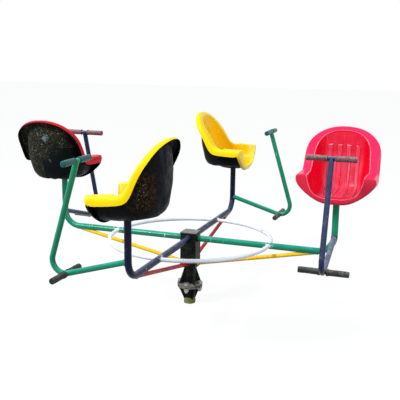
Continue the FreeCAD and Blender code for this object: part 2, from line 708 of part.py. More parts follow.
def make_hub():
    make_hub_housing()
    make_hub_cap()
    make_bearing_seat("lower_bearing_seat", "lower_block_low", "lower_block_high",
                      [(0, "lower_block_low"), ("block_bore", "lower_block_low"),
                       ("block_bore", "lower_bearing_high"),
                       ("seat_lip_radius", "lower_bearing_high"),
                       ("seat_lip_radius", "lower_block_high"), (0, "lower_block_high")])
    make_bearing_seat("upper_bearing_seat", "upper_block_low", "upper_block_high",
                      [(0, "upper_block_low"), ("seat_lip_radius", "upper_block_low"),
                       ("seat_lip_radius", "upper_bearing_low"),
                       ("block_bore", "upper_bearing_low"),
                       ("block_bore", "upper_block_high"), (0, "upper_block_high")])
    make_plain_ring("hub_seal", "seal_bore", "race_outside", "seal_low", "seal_high")


# ---------------------------------------------------------------- arms

def arm_path(body):
    path = sketch_on(body, "arm_path", "XZ_Plane")
    draw_bent_line(path, ("hub_half", "arm_height"), ("post_radius", "arm_height"),
                   ("post_radius", "post_top"), "arm_bend")
    return path


def make_arm(quarter):
    """Arm and seat post, one pipe bent up at its outer end."""
    body = node(new_body(f"arm_{quarter}", quarter))
    pipe_along(body, arm_path(body), "arm_outer", "arm_inner")


def make_brace(quarter):
    """Brace from the hub's face to the arm's underside, its ends cut to fit."""
    body = node(new_body(f"brace_{quarter}", quarter))
    path = sketch_on(body, "path", "XZ_Plane")
    line = path.addGeometry(Part.LineSegment(Vector(0, size("brace_low"), 0),
                                             Vector(size("brace_reach"), size("arm_height"), 0)))
    hold_point(path, line, 1, 0, "brace_low")
    hold_point(path, line, 2, "brace_reach", "arm_height")
    pipe_along(body, path, "brace_outer", "brace_inner")
    doc.recompute()
    cut_cylinder(body, "arm_cut", "arm_outer", "x", ("brace_reach", 0, "arm_height"), "brace_reach")
    hub = body.newObject("PartDesign::SubtractiveBox", "hub_cut")
    for prop in ("Length", "Width"):
        hub.setExpression(prop, "Sizes.hub_side")
    hub.setExpression("Height", "Sizes.hub_below + Sizes.hub_side")
    hub.setExpression("Placement.Base.x", "-Sizes.hub_half")
    hub.setExpression("Placement.Base.y", "-Sizes.hub_half")
    hub.setExpression("Placement.Base.z", "Sizes.hub_bottom - Sizes.hub_half")


def make_ring_arc(quarter):
    """Quarter of the tie ring, from this arm to the next, its ends cut to the arms."""
    body = node(new_body(f"ring_arc_{quarter}", quarter))
    section = sketch_on(body, "section", "XZ_Plane")
    draw_circle(section, "ring_outer", "ring_radius", "arm_height")
    draw_circle(section, "ring_inner", "ring_radius", "arm_height")
    arc = body.newObject("PartDesign::Revolution", "arc")
    arc.Profile = section
    arc.ReferenceAxis = (section, ["V_Axis"])
    arc.Angle = 360 / len(QUARTERS)
    doc.recompute()
    cut_cylinder(body, "this_arm_cut", "arm_outer", "x", ("ring_radius", 0, "arm_height"), "hub_side")
    cut_cylinder(body, "next_arm_cut", "arm_outer", "y", (0, "ring_radius", "arm_height"), "hub_side")


def make_handle_tube(quarter):
    """Tube from the post down to the feet and up to the hands."""
    body = node(new_body(f"handle_tube_{quarter}", quarter))
    path = sketch_on(body, "path", "YZ_Plane", (0, 0, "post_radius"))
    draw_bent_line(path, (0, "handle_start_level"), ("-handle_reach", "handle_low_level"),
                   ("-handle_back", "handle_top_level"), "handle_bend")
    pipe_along(body, path, "handle_outer", "handle_inner")
    doc.recompute()
    pipe_along(body, arm_path(body), "arm_outer", kind="PartDesign::SubtractivePipe")
    doc.recompute()
    cut_cylinder(body, "foot_bar_hole", "foot_bar_radius", "x",
                 ("post_radius", "-foot_reach", "foot_level"), "foot_bar_half")
    cut_cylinder(body, "hand_bar_cut", "hand_bar_outer", "x",
                 ("post_radius", "-handle_back", "handle_top_level"), "hand_bar_half")


def bar_frame(out, up):
    """Sketch shift that puts a sketch's origin on a cross bar's middle."""
    return ("post_radius", up, out)


FOOT_BAR = bar_frame("foot_reach", "foot_level")
HAND_BAR = bar_frame("handle_back", "handle_top_level")


def make_cross_bars(quarter):
    foot_bar = node(new_body(f"foot_bar_{quarter}", quarter))
    turned(foot_bar, "rod", [("-foot_bar_half", 0), ("foot_bar_half", 0),
                             ("foot_bar_half", "foot_bar_radius"),
                             ("-foot_bar_half", "foot_bar_radius")], axis="H_Axis", shift=FOOT_BAR)
    hand_bar = node(new_body(f"hand_bar_{quarter}", quarter))
    turned(hand_bar, "tube", [("-hand_bar_half", "hand_bar_inner"), ("hand_bar_half", "hand_bar_inner"),
                              ("hand_bar_half", "hand_bar_outer"),
                              ("-hand_bar_half", "hand_bar_outer")], axis="H_Axis", shift=HAND_BAR)


def make_bar_covers(label, quarter, frame, start, end, tip, bore, outside):
    """The inner and the outer rubber on a cross bar, each closed at its tip."""
    covers = []
    for side, sign in (("inner", "-"), ("outer", "")):
        body = new_body(f"{label}_{quarter}_{side}", quarter)
        turned(body, "cover", [(sign + start, bore), (sign + end, bore), (sign + end, 0),
                               (sign + tip, 0), (sign + tip, outside), (sign + start, outside)],
               axis="H_Axis", shift=frame)
        covers.append(body)
    return covers


def make_grips(quarter):
    gather(f"grips_{quarter}", make_bar_covers("grip", quarter, HAND_BAR, "grip_inset",
                                               "hand_bar_half", "grip_tip", "grip_bore",
                                               "grip_radius"))


def make_foot_sleeves():
    sleeves = []
    for quarter in QUARTERS:
        sleeves += make_bar_covers("foot_sleeve", quarter, FOOT_BAR, "sleeve_start",
                                   "foot_bar_half", "sleeve_tip", "sleeve_bore", "sleeve_radius")
    gather("foot_sleeves", sleeves)


# ---------------------------------------------------------------- seats

# Stations of the moulding, from the middle of the front round one side to the middle of the back.
# Each is a share of the reach from the post (forward positive, back negative), a share of the
# half width, and a height: 0 at the apron's foot, 1 at the arm rests, 2 at the top of the back.
RIM = [(1.00, 0.00, 0.00), (1.00, 0.33, 0.04), (1.00, 0.66, 0.28), (1.00, 0.90, 0.58),
       (0.99, 0.99, 0.86), (0.92, 1.00, 0.985), (0.50, 1.00, 1.00), (-0.09, 1.00, 1.01),
       (-0.28, 1.00, 1.03), (-0.39, 0.995, 1.12), (-0.52, 0.985, 1.35), (-0.66, 0.95, 1.56),
       (-0.79, 0.84, 1.73), (-0.90, 0.62, 1.88), (-0.975, 0.33, 1.97), (-1.00, 0.00, 2.00)]
MOUTH = [(1.05, 0.00, 0.24), (1.05, 0.23, 0.25), (1.05, 0.45, 0.33), (1.05, 0.57, 0.49),
         (1.04, 0.65, 0.77), (0.97, 0.70, 0.98), (0.52, 0.72, 1.00), (-0.06, 0.73, 1.01),
         (-0.24, 0.73, 1.04), (-0.36, 0.725, 1.15), (-0.49, 0.705, 1.35), (-0.62, 0.675, 1.53),
         (-0.73, 0.595, 1.68), (-0.81, 0.445, 1.80), (-0.855, 0.23, 1.87), (-0.87, 0.00, 1.89)]
FLOOR = [(0.84, 0.00), (0.84, 0.15), (0.81, 0.30), (0.74, 0.42), (0.62, 0.50), (0.48, 0.54),
         (0.20, 0.56), (-0.07, 0.565), (-0.20, 0.565), (-0.33, 0.56), (-0.45, 0.54),
         (-0.56, 0.49), (-0.65, 0.405), (-0.71, 0.285), (-0.74, 0.15), (-0.75, 0.00)]
# Depth of the turned-down lip at each station, as a share of its depth along the arm rests.
LIP = [0.4, 0.4, 0.4, 0.45, 0.6, 0.85, 1.0, 1.0, 1.0, 0.95, 0.9, 0.85, 0.75, 0.65, 0.6, 0.55]
PAD_SHARE, FLAT_SHARE = 0.68, 0.84
PAD_CENTRE = 0.2
# How far the high wall's underside is evened out between its neighbours, from the front's middle.
APRON_EASE = (1, 1, 0.6, 0.2, 0)


def station_point(reach, across, height=None):
    """A station in the seat's frame: +X forward, +Y to one side, Z from the plate's top."""
    forward = reach * size("front_reach" if reach >= 0 else "back_reach")
    if height is None:
        level = size("seat_thick")
    elif height <= 1:
        level = -size("apron_drop") + height * (size("arm_rest_height") + size("apron_drop"))
    else:
        level = size("arm_rest_height") + (height - 1) * (size("back_height")
                                                         - size("arm_rest_height"))
    return Vector(forward, across * size("seat_half_width"), level)


def whole_ring(half):
    """Close a half ring of points with its mirror image."""
    mirror = [Vector(point.x, -point.y, point.z) for point in half[-2:0:-1]]
    return half + mirror


def lip_directions(rim, mouth, floor):
    """The way the lip turns down at each station, eased round the corners."""
    count = len(rim)
    ways = []
    for index in range(count):
        along = rim[(index + 1) % count] - rim[index - 1]
        way = (rim[index] - mouth[index]).cross(along).normalize()
        ways.append(way * -1 if way.dot(mouth[index] - floor[index]) > 0 else way)
    for _ in range(2):
        ways = [(ways[index] * 2 + ways[index - 1] + ways[(index + 1) % count]).normalize()
                for index in range(count)]
    return ways


def seat_rows():
    """Rings of surface points from the flat pad out to the lip's edge."""
    rim = whole_ring([station_point(*station) for station in RIM])
    mouth = whole_ring([station_point(*station) for station in MOUTH])
    floor = whole_ring([station_point(*station) for station in FLOOR])
    lip_shares = LIP + LIP[-2:0:-1]
    count = len(rim)
    centre = Vector(-PAD_CENTRE * size("front_reach"), 0, size("seat_thick"))
    fold = size("rim_fold")
    directions = lip_directions(rim, mouth, floor)
    rows = [[] for _ in range(10)]
    for index in range(count):
        m, r, f = mouth[index], rim[index], floor[index]
        outward = (f - centre).normalize()
        rise = min(1.0, max(0.0, (m.z - f.z) / size("arm_rest_height")))
        low_wall = f + (m - f) * 0.25 + outward * (size("low_bulge") * rise)
        high_wall = f + (m - f) * 0.62 + outward * (size("high_bulge") * rise)
        across = (r - m).normalize()
        inward = high_wall - m
        turn = min(fold, inward.Length / 2)
        normal = directions[index]
        edge = size("lip_depth") * lip_shares[index]
        rows[0].append(centre + (f - centre) * PAD_SHARE)
        rows[1].append(centre + (f - centre) * FLAT_SHARE)
        rows[2].append(f)
        rows[3].append(low_wall)
        rows[4].append(high_wall)
        rows[5].append(m + inward.normalize() * turn)
        rows[6].append(m + across * fold)
        rows[7].append(r - across * fold)
        rows[8].append(r + normal * fold)
        rows[9].append(r + normal * edge)
    return rows


def under_rows(rows):
    """Rows of the underside: the moulding thins towards its lip and rounds over inside the mouth."""
    flat, bowl, folds, outer = rows[:3], rows[3:5], rows[5:7], rows[7:]
    mouth = len(flat) + len(bowl)
    rows = flat + bowl + [[(a + b) * 0.5 for a, b in zip(*folds)]] + outer
    walls = [size("seat_thick")] * mouth + [size("seat_flange_thick")] * 2
    walls += [size("seat_lip_thick")] * (len(rows) - len(walls))
    count, last = len(rows[0]), len(rows) - 1
    moved = []
    for level, (row, wall) in enumerate(zip(rows, walls)):
        ways = []
        for index in range(count):
            around = row[(index + 1) % count] - row[index - 1]
            outward = rows[min(level + 1, last)][index] - rows[max(level - 1, 0)][index]
            ways.append(Vector(0, 0, -1) if level < len(flat)
                        else around.cross(outward).normalize())
        if level >= mouth:
            ways = [(ways[index] * 2 + ways[index - 1] + ways[(index + 1) % count]).normalize()
                    for index in range(count)]
        moved.append([point + way * wall for point, way in zip(row, ways)])
    for index in range(count):
        share = APRON_EASE[min(index, count - index, len(APRON_EASE) - 1)]
        halfway = (moved[mouth - 2][index] + moved[mouth][index]) * 0.5
        moved[mouth - 1][index] += (halfway - moved[mouth - 1][index]) * share
    return moved


def closed_spline_poles(points):
    """Poles of the closed uniform cubic that passes through the points."""
    poles = list(points)
    count = len(points)
    for _ in range(40):
        poles = [poles[i] + points[i] - (poles[i - 1] + poles[i] * 4 + poles[(i + 1) % count]) * (1 / 6)
                 for i in range(count)]
    return poles


def spline_face(rows):
    """Face over closed rows of points: a closed cubic round each row, a cubic across the rows."""
    poles = list(zip(*[closed_spline_poles(row) for row in rows]))
    around, across = len(poles), len(rows)
    surface = Part.BSplineSurface()
    inner_knots = across - 3
    surface.buildFromPolesMultsKnots([list(line) for line in poles],
                                     [1] * (around + 1), [4] + [1] * (inner_knots - 1) + [4],
                                     list(range(around + 1)), list(range(inner_knots + 1)),
                                     True, False, 3, 3)
    return surface.toShape(), surface.vIso(0).toShape(), surface.vIso(inner_knots).toShape()


def seat_shape():
    """One moulding: bowl, flange and lip of even thickness, open below the lip."""
    rows = seat_rows()
    top, top_pad, top_lip = spline_face(rows)
    under, under_pad, under_lip = spline_face(under_rows(rows))
    faces = [top, under, Part.Face(Part.Wire(top_pad)), Part.Face(Part.Wire(under_pad)),
             Part.makeRuledSurface(top_lip, under_lip)]
    shell = Part.Compound(faces)
    shell.sewShape()
    solid = Part.Solid(Part.Shell(shell.Faces))
    if solid.Volume < 0:
        solid.reverse()
    offset, reach = size("seat_bolt_offset"), 5 * size("seat_thick")
    for across in (-offset, offset):
        for along in (-offset, offset):
            hole = Part.makeCylinder(size("seat_bolt_hole_radius"), reach,
                                     Vector(along, across, -reach / 2))
            solid = solid.cut(hole)
    return solid.Solids[0]


def on_post(quarter, along=0, across=0):
    """Placement of a piece drawn about a post's top, for its quarter and its seat's lean."""
    lean = size("front_seat_lean") if quarter == "front" else 0
    step = size("seat_bolt_offset")
    front_edge = Vector(0, -size("arm_outer"), 0)
    turned_arm = Placement(Vector(), Rotation(Z_AXIS, QUARTERS[quarter]))
    post_end = Placement(Vector(size("post_radius"), 0, size("post_top")), Rotation())
    tilt = Placement(Vector(), Rotation(X_AXIS, lean), front_edge)
    spot = Placement(Vector(along * step, across * step, 0), Rotation())
    return turned_arm * post_end * tilt * spot


def make_seats():
    """The moulding's own +X (forward) becomes -Y of an arm, then turns to each quarter."""
    shape = seat_shape()
    face_forward = Placement(Vector(0, 0, size("plate_thick")), Rotation(Z_AXIS, -90))
    for quarter in QUARTERS:
        seat = node(doc.addObject("Part::Feature", f"seat_{quarter}"))
        seat.Shape = shape
        seat.Placement = on_post(quarter) * face_forward


def make_seat_plates():
    plates = []
    for quarter in QUARTERS:
        body = new_body(f"seat_plate_{quarter}")
        sketch = sketch_on(body, "outline", "XY_Plane")
        square_outline(sketch, "plate_half")
        plate = padded(body, "plate", sketch, "plate_thick")
        dress_corners(body, plate, "Fillet", "plate_half", "plate_corner")
        doc.recompute()
        hole = cut_cylinder(body, "bolt_hole", "seat_bolt_hole_radius", "z",
                            ("seat_bolt_offset", "seat_bolt_offset", 0), "plate_half")
        polar_copies(body, hole, 4)
        body.Placement = on_post(quarter)
        plates.append(body)
    gather("seat_plates", plates)


def spread_under_seats(label, piece):
    """Copies of one fastener at the four corners of every seat plate."""
    copies = []
    for quarter in QUARTERS:
        for along in (-1, 1):
            for across in (-1, 1):
                link = doc.addObject("App::Link", f"{label}_{quarter}")
                link.LinkedObject = piece
                link.Placement = on_post(quarter, along, across)
                copies.append(link)
    gather(label, copies)


def make_seat_fasteners():
    bolt = new_body("seat_bolt")
    turned(bolt, "bolt", [(0, "seat_bolt_end"), ("seat_bolt_radius", "seat_bolt_end"),
                          ("seat_bolt_radius", "pan_top"), ("seat_bolt_head_radius", "pan_top"),
                          ("seat_bolt_head_radius", "seat_bolt_head_edge"),
                          ("seat_bolt_dome_radius", "seat_bolt_head_top"),
                          (0, "seat_bolt_head_top")])
    spread_under_seats("seat_bolts", bolt)
    nut = hexagon_prism("seat_nut_blank", "seat_nut_corner", "seat_nut_low", "seat_nut_height")
    thread = plain_cylinder("seat_nut_thread", "seat_bolt_radius", "seat_nut_low", "seat_nut_height")
    spread_under_seats("seat_nuts", combined("Cut", "seat_nut", nut, thread))


# ---------------------------------------------------------------- build

make_ground_stub()
make_flange("lower_flange", "flange_under", "flange_level")
make_flange("upper_flange", "flange_level", "flange_over")
make_gussets("lower_gussets", [("stub_radius", "gusset_foot"), ("lower_nose", "gusset_foot"),
                               ("gusset_toe", "flange_under"), ("stub_radius", "flange_under")])
make_gussets("upper_gussets", [("neck_radius", "flange_over"), ("gusset_toe", "flange_over"),
                               ("upper_nose", "neck_top"), ("neck_radius", "neck_top")])
make_flange_fasteners()
make_spindle()
make_bearing("lower")
make_bearing("upper")
make_plain_ring("bearing_spacer", "race_bore", "shoulder_radius",
                "lower_bearing_high", "upper_bearing_low")
make_plain_ring("spindle_washer", "thread_bore", "spindle_washer_radius",
                "upper_bearing_high", "spindle_nut_low")
make_spindle_nut()
make_cotter_pin()
make_hub()
for quarter in QUARTERS:
    make_arm(quarter)
    make_brace(quarter)
    make_ring_arc(quarter)
    make_handle_tube(quarter)
    make_cross_bars(quarter)
    make_grips(quarter)
make_foot_sleeves()
make_seats()
make_seat_plates()
make_seat_fasteners()
doc.recompute()

# ---------------------------------------------------------------- checks and export

for item in doc.Objects:
    if "Invalid" in item.State or "Error" in item.State:
        raise RuntimeError(f"{item.Name} failed: {item.State}")
os.makedirs("parts", exist_ok=True)
for piece in nodes:
    if piece.Shape.isNull() or not piece.Shape.isValid():
        raise RuntimeError(f"{piece.Label} has no valid shape")
    piece.Shape.exportStep(f"parts/{piece.Label}.step")
print(len(nodes), "nodes")
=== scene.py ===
"""Looks of a four-seat playground merry-go-round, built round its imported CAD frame.

Everything is in metres in the frame's own coordinates. Each seat is drawn once in its own frame
(+X forward, +Y to one side, Z up from the top of its plate) and set on its post.
"""
import math

import bmesh
import bpy
import numpy as np
from mathutils import Matrix, Vector
from mathutils.bvhtree import BVHTree


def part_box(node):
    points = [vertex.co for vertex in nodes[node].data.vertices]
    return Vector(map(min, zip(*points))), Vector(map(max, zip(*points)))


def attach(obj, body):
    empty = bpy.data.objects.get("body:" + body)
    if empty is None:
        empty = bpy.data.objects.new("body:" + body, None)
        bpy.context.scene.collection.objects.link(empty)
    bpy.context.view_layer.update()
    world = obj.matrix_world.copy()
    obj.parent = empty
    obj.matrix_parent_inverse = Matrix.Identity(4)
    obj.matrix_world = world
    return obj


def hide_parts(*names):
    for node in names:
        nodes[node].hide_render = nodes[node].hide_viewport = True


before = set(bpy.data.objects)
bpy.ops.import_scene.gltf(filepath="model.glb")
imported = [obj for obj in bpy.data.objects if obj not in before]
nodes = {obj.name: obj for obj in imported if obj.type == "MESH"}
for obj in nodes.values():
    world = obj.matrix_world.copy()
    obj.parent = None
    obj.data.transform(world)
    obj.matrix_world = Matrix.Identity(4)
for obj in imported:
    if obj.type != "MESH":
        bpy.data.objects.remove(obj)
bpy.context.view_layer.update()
MM = 0.001
SIDES = {"right": 0, "back": 90, "left": 180, "front": 270}
NAVY_SIDES, GREEN_SIDES = ("front", "back"), ("right", "left")


# ---------------------------------------------------------------- sizes and places

def bar_place(name):
    """How far a cross bar's middle lies ahead of its post, and how high."""
    low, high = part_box(name)
    return -(low.y + high.y) / 2, (low.z + high.z) / 2


# Pipes, the plates' steel, how far handles and braces reach and drop, and a lean in degrees.
ARM_RADIUS = 16.85 * MM
BRACE_RADIUS = 10.65 * MM
RING_RADIUS = 10.65 * MM
HANDLE_RADIUS = 13.45 * MM
HAND_BAR_RADIUS = 10.65 * MM
PLATE_THICK = 8 * MM
HANDLE_START = 85 * MM
HANDLE_REACH = 416 * MM
HANDLE_DROP = 38 * MM
BRACE_DROP = 150 * MM
BRACE_REACH = 735 * MM
FRONT_LEAN = 4

# Places read from the frame.
low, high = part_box("arm_right")
HUB_HALF = low.x
ARM_HEIGHT = low.z + ARM_RADIUS
POST_TOP = high.z
POST_REACH = high.x - ARM_RADIUS
HAND_REACH, HAND_HEIGHT = bar_place("hand_bar_right")
FOOT_REACH, FOOT_HEIGHT = bar_place("foot_bar_right")
RING_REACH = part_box("ring_arc_right")[1].x - RING_RADIUS
FLANGE_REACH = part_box("upper_flange")[1].x
HUB_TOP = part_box("hub_housing")[1].z

# Raised slats across a seat's pan and back, in millimetres in the seat's own frame.
RIB_STEP, RIB_HALF, RIB_RISE = 48, 11, 3.3
RIB_PLACES = [RIB_STEP * number for number in (-1.5, -0.5, 0.5, 1.5)]
RIB_TOP, RIB_FRONT = 238, 62
# Where the glass mats under a seat end, in the same frame: a level and a place to the side.
SEAM_LEVEL, SEAM_SIDE = 180, 12
# Weld beads: how far apart the points along one are, and its ripples.
BEAD_STEP, RIPPLE_PITCH = 0.9 * MM, 4.2 * MM
# Seeded noise: how many plain waves add up to one.
WAVES = 14


# ---------------------------------------------------------------- numbers

def rgb(red, green, blue):
    """A display colour, 0 to 255, as the linear colour a shader takes."""
    def linear(value):
        share = value / 255
        return share / 12.92 if share <= 0.04045 else ((share + 0.055) / 1.055) ** 2.4
    return (linear(red), linear(green), linear(blue), 1.0)


def smooth_step(values, start, end):
    share = np.clip((values - start) / (end - start), 0, 1)
    return share * share * (3 - 2 * share)


def waves(points, size, seed):
    """Smooth seeded noise about -1 to 1 whose lumps are about `size` across."""
    draw = np.random.RandomState(seed)
    total = np.zeros(len(points))
    for _ in range(WAVES):
        direction = draw.normal(size=3)
        direction *= 2 * math.pi / (size * draw.uniform(1.3, 3.2)) / np.linalg.norm(direction)
        total += np.sin(points @ direction + draw.uniform(0, 2 * math.pi))
    return total / math.sqrt(WAVES)


def unit(vectors):
    return vectors / np.maximum(np.linalg.norm(vectors, axis=-1, keepdims=True), 1e-12)


def side_turn(side):
    return Matrix.Rotation(math.radians(SIDES[side]), 4, "Z")


# ---------------------------------------------------------------- meshes

def add_mesh(name, points, faces, materials, body="rotor", choice=None):
    """A smooth piece made from points and faces, turned outward, riding on a body."""
    mesh = bpy.data.meshes.new(name)
    mesh.from_pydata([tuple(p) for p in points], [], [tuple(f) for f in faces])
    mesh.validate()
    piece = bpy.data.objects.new(name, mesh)
    bpy.context.scene.collection.objects.link(piece)
    for material in materials:
        mesh.materials.append(material)
    if choice is not None:
        mesh.polygons.foreach_set("material_index", choice)
    mesh.polygons.foreach_set("use_smooth", [True] * len(mesh.polygons))
    mesh.update()
    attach(piece, body)
    work = bmesh.new()
    work.from_mesh(mesh)
    bmesh.ops.recalc_face_normals(work, faces=work.faces)
    work.to_mesh(mesh)
    work.free()
    return piece


def sharpen(piece, degrees):
    """Keep edges steeper than the angle crisp in a smooth-shaded piece."""
    work = bmesh.new()
    work.from_mesh(piece.data)
    limit = math.radians(degrees)
    for edge in work.edges:
        if len(edge.link_faces) == 2:
            edge.smooth = edge.calc_face_angle(0) < limit
    work.to_mesh(piece.data)
    work.free()


def grid_faces(rows, columns, first=0, close_rows=False, capped=False):
    """Quads over closed rings of points numbered ring by ring, with a cap on each end if asked."""
    faces = []
    for row in range(rows if close_rows else rows - 1):
        below = (row + 1) % rows
        for column in range(columns):
            beside = (column + 1) % columns
            faces.append((first + row * columns + column, first + row * columns + beside,
                          first + below * columns + beside, first + below * columns + column))
    if capped:
        last = first + (rows - 1) * columns
        faces += [tuple(range(first, first + columns))[::-1], tuple(range(last, last + columns))]
    return faces


class Batch:
    """Several closed forms gathered into one mesh."""

    def __init__(self):
        self.points, self.faces = [], []

    def add(self, points, faces):
        first = len(self.points)
        self.faces += [tuple(index + first for index in face) for face in faces]
        self.points += [tuple(p) for p in points]

    def build(self, name, material, body="rotor"):
        return add_mesh(name, self.points, self.faces, [material], body)


def frames_along(line, closed):
    """Side and up directions that follow a line without twisting."""
    if closed:
        ahead = unit(np.roll(line, -1, 0) - np.roll(line, 1, 0))
    else:
        ahead = unit(np.gradient(line, axis=0))
    side = np.cross(ahead[0], (0.3, 0.2, 0.93))
    if np.linalg.norm(side) < 0.1:
        side = np.cross(ahead[0], (1.0, 0, 0))
    sides = []
    for way in ahead:
        side = side - way * (side @ way)
        side = side / np.linalg.norm(side)
        sides.append(side)
    sides = np.array(sides)
    return sides, np.cross(ahead, sides)


def swept(line, radii, closed, around):
    """Points and faces of a round bead along a line, its radius given at each point."""
    sides, ups = frames_along(line, closed)
    turn = np.linspace(0, 2 * math.pi, around, endpoint=False)
    ring = (sides[:, None] * np.cos(turn)[None, :, None]
            + ups[:, None] * np.sin(turn)[None, :, None])
    points = (line[:, None] + ring * radii[:, None, None]).reshape(-1, 3)
    return points, grid_faces(len(line), around, close_rows=closed, capped=not closed)


def turned(origin, axis, profile, around, shape=None):
    """Points and faces of a form turned about an axis; profile is (along, radius) pairs."""
    axis = unit(np.asarray(axis, float))
    side = unit(np.cross(axis, (0, 0, 1.0) if abs(axis[2]) < 0.9 else (1.0, 0, 0)))
    up = np.cross(axis, side)
    turn = np.linspace(0, 2 * math.pi, around, endpoint=False)
    ring = side[None] * np.cos(turn)[:, None] + up[None] * np.sin(turn)[:, None]
    profile = np.asarray(profile, float)
    radii = np.repeat(profile[:, 1:2], around, 1)
    if shape is not None:
        radii = radii + shape(profile[:, :1], turn[None, :])
    points = (np.asarray(origin, float) + axis * profile[:, :1, None]
              + ring[None] * radii[:, :, None]).reshape(-1, 3)
    return points, grid_faces(len(profile), around, capped=True)


def weld(line, size, seed, closed=True):
    """A hand-laid weld bead along a line: overlapping ripples of uneven width."""
    line = np.asarray(line, float)
    wrapped = np.vstack([line, line[:1]]) if closed else line
    steps = np.linalg.norm(np.diff(wrapped, axis=0), axis=1)
    length = steps.sum()
    count = max(16, int(length / BEAD_STEP))
    at = np.linspace(0, length, count, endpoint=not closed)
    marks = np.concatenate([[0], np.cumsum(steps)])
    fine = np.stack([np.interp(at, marks, wrapped[:, k]) for k in range(3)], 1)
    ripples = max(3, round(length / RIPPLE_PITCH))
    phase = (at / length * ripples) % 1
    radii = size * (0.86 + 0.2 * phase ** 1.6 + 0.09 * waves(fine, 9 * MM, seed))
    if not closed:
        ends = np.minimum(at, length - at)
        radii = radii * np.sqrt(np.clip(ends / (2.5 * size), 0.05, 1))
    return swept(fine, radii, closed, 8)


def apply_turn(points, matrix):
    turn = np.array(matrix)
    return np.asarray(points, float) @ turn[:3, :3].T + turn[:3, 3]


# ---------------------------------------------------------------- materials

class Nodes:
    """A short way to write a tree of shader nodes."""

    def __init__(self, tree):
        self.tree = tree

    def node(self, kind, inputs=(), **values):
        made = self.tree.nodes.new(kind)
        for key, value in values.items():
            setattr(made, key, value)
        for key, value in dict(inputs).items():
            self.feed(made.inputs[key], value)
        return made

    def feed(self, socket, value):
        if isinstance(value, bpy.types.NodeSocket):
            self.tree.links.new(value, socket)
        else:
            socket.default_value = value

    def maths(self, operation, first, second=0.0):
        node = self.node("ShaderNodeMath", {0: first, 1: second}, operation=operation)
        return node.outputs["Value"]

    def add(self, first, second):
        return self.maths("ADD", first, second)

    def most(self, first, second):
        return self.maths("MAXIMUM", first, second)

    def off(self, value, place):
        """How far a value is from a place, either way."""
        return self.maths("ABSOLUTE", self.maths("SUBTRACT", value, place))

    def both(self, *values):
        total = values[0]
        for value in values[1:]:
            total = self.maths("MULTIPLY", total, value)
        return total

    def seen(self):
        """1 for rays that come from the camera or by way of a glossy or clear surface."""
        path = self.node("ShaderNodeLightPath").outputs
        return self.most(path["Is Camera Ray"],
                         self.most(path["Is Glossy Ray"], path["Is Transmission Ray"]))


class Shader(Nodes):
    """A node material whose colour is laid on layer by layer."""

    def __init__(self, name, colour):
        self.material = bpy.data.materials.new(name)
        self.material.use_nodes = True
        super().__init__(self.material.node_tree)
        self.surface = self.tree.nodes["Principled BSDF"]
        self.place = self.node("ShaderNodeTexCoord").outputs["Object"]
        self.colour = colour

    def stretched(self, factors, place=None):
        node = self.node("ShaderNodeMapping", {"Vector": place or self.place, "Scale": factors})
        return node.outputs["Vector"]

    def noise(self, scale, detail=3.0, rough=0.55, place=None):
        inputs = {"Vector": place or self.place, "Scale": scale, "Detail": detail,
                  "Roughness": rough}
        return self.node("ShaderNodeTexNoise", inputs).outputs["Fac"]

    def cells(self, scale, output="Distance"):
        node = self.node("ShaderNodeTexVoronoi", {"Vector": self.place, "Scale": scale})
        return node.outputs[output]

    def fit(self, value, start, end, low=0.0, high=1.0):
        inputs = {"Value": value, "From Min": start, "From Max": end, "To Min": low,
                  "To Max": high}
        return self.node("ShaderNodeMapRange", inputs, clamp=True).outputs["Result"]

    def split(self, vector=None):
        return self.node("ShaderNodeSeparateXYZ", {0: vector or self.place}).outputs

    def up(self):
        """How much the surface faces up, -1 to 1."""
        return self.split(self.node("ShaderNodeNewGeometry").outputs["Normal"])["Z"]

    def distance(self, centre, place=None):
        node = self.node("ShaderNodeVectorMath", {0: place or self.place, 1: centre},
                         operation="DISTANCE")
        return node.outputs["Value"]

    def axis_distance(self):
        """How far a point is from the hub's upright axis."""
        return self.distance((0, 0, 0), self.stretched((1, 1, 0)))

    def attribute(self, name, output="Fac"):
        return self.node("ShaderNodeAttribute", attribute_name=name).outputs[output]

    def bump(self, height, distance, strength, over=None):
        inputs = {"Height": height, "Distance": distance, "Strength": strength}
        if over is not None:
            inputs["Normal"] = over
        return self.node("ShaderNodeBump", inputs).outputs["Normal"]

    def mix(self, share, first, second):
        node = self.node("ShaderNodeMix", {0: share, 6: first, 7: second}, data_type="RGBA")
        return node.outputs[2]

    def cover(self, colour, *shares):
        """Lay a colour over what is there, as much as the product of the shares."""
        self.colour = self.mix(self.both(*shares), self.colour, colour)

    def finish(self, roughness, normal=None, metallic=0.0, specular=0.5):
        values = {"Base Color": self.colour, "Roughness": roughness, "Metallic": metallic,
                  "Specular IOR Level": specular}
        if normal is not None:
            values["Normal"] = normal
        for key, value in values.items():
            self.feed(self.surface.inputs[key], value)
        return self.material


def darker(colour, share):
    return tuple(share * part for part in colour[:3]) + (1.0,)


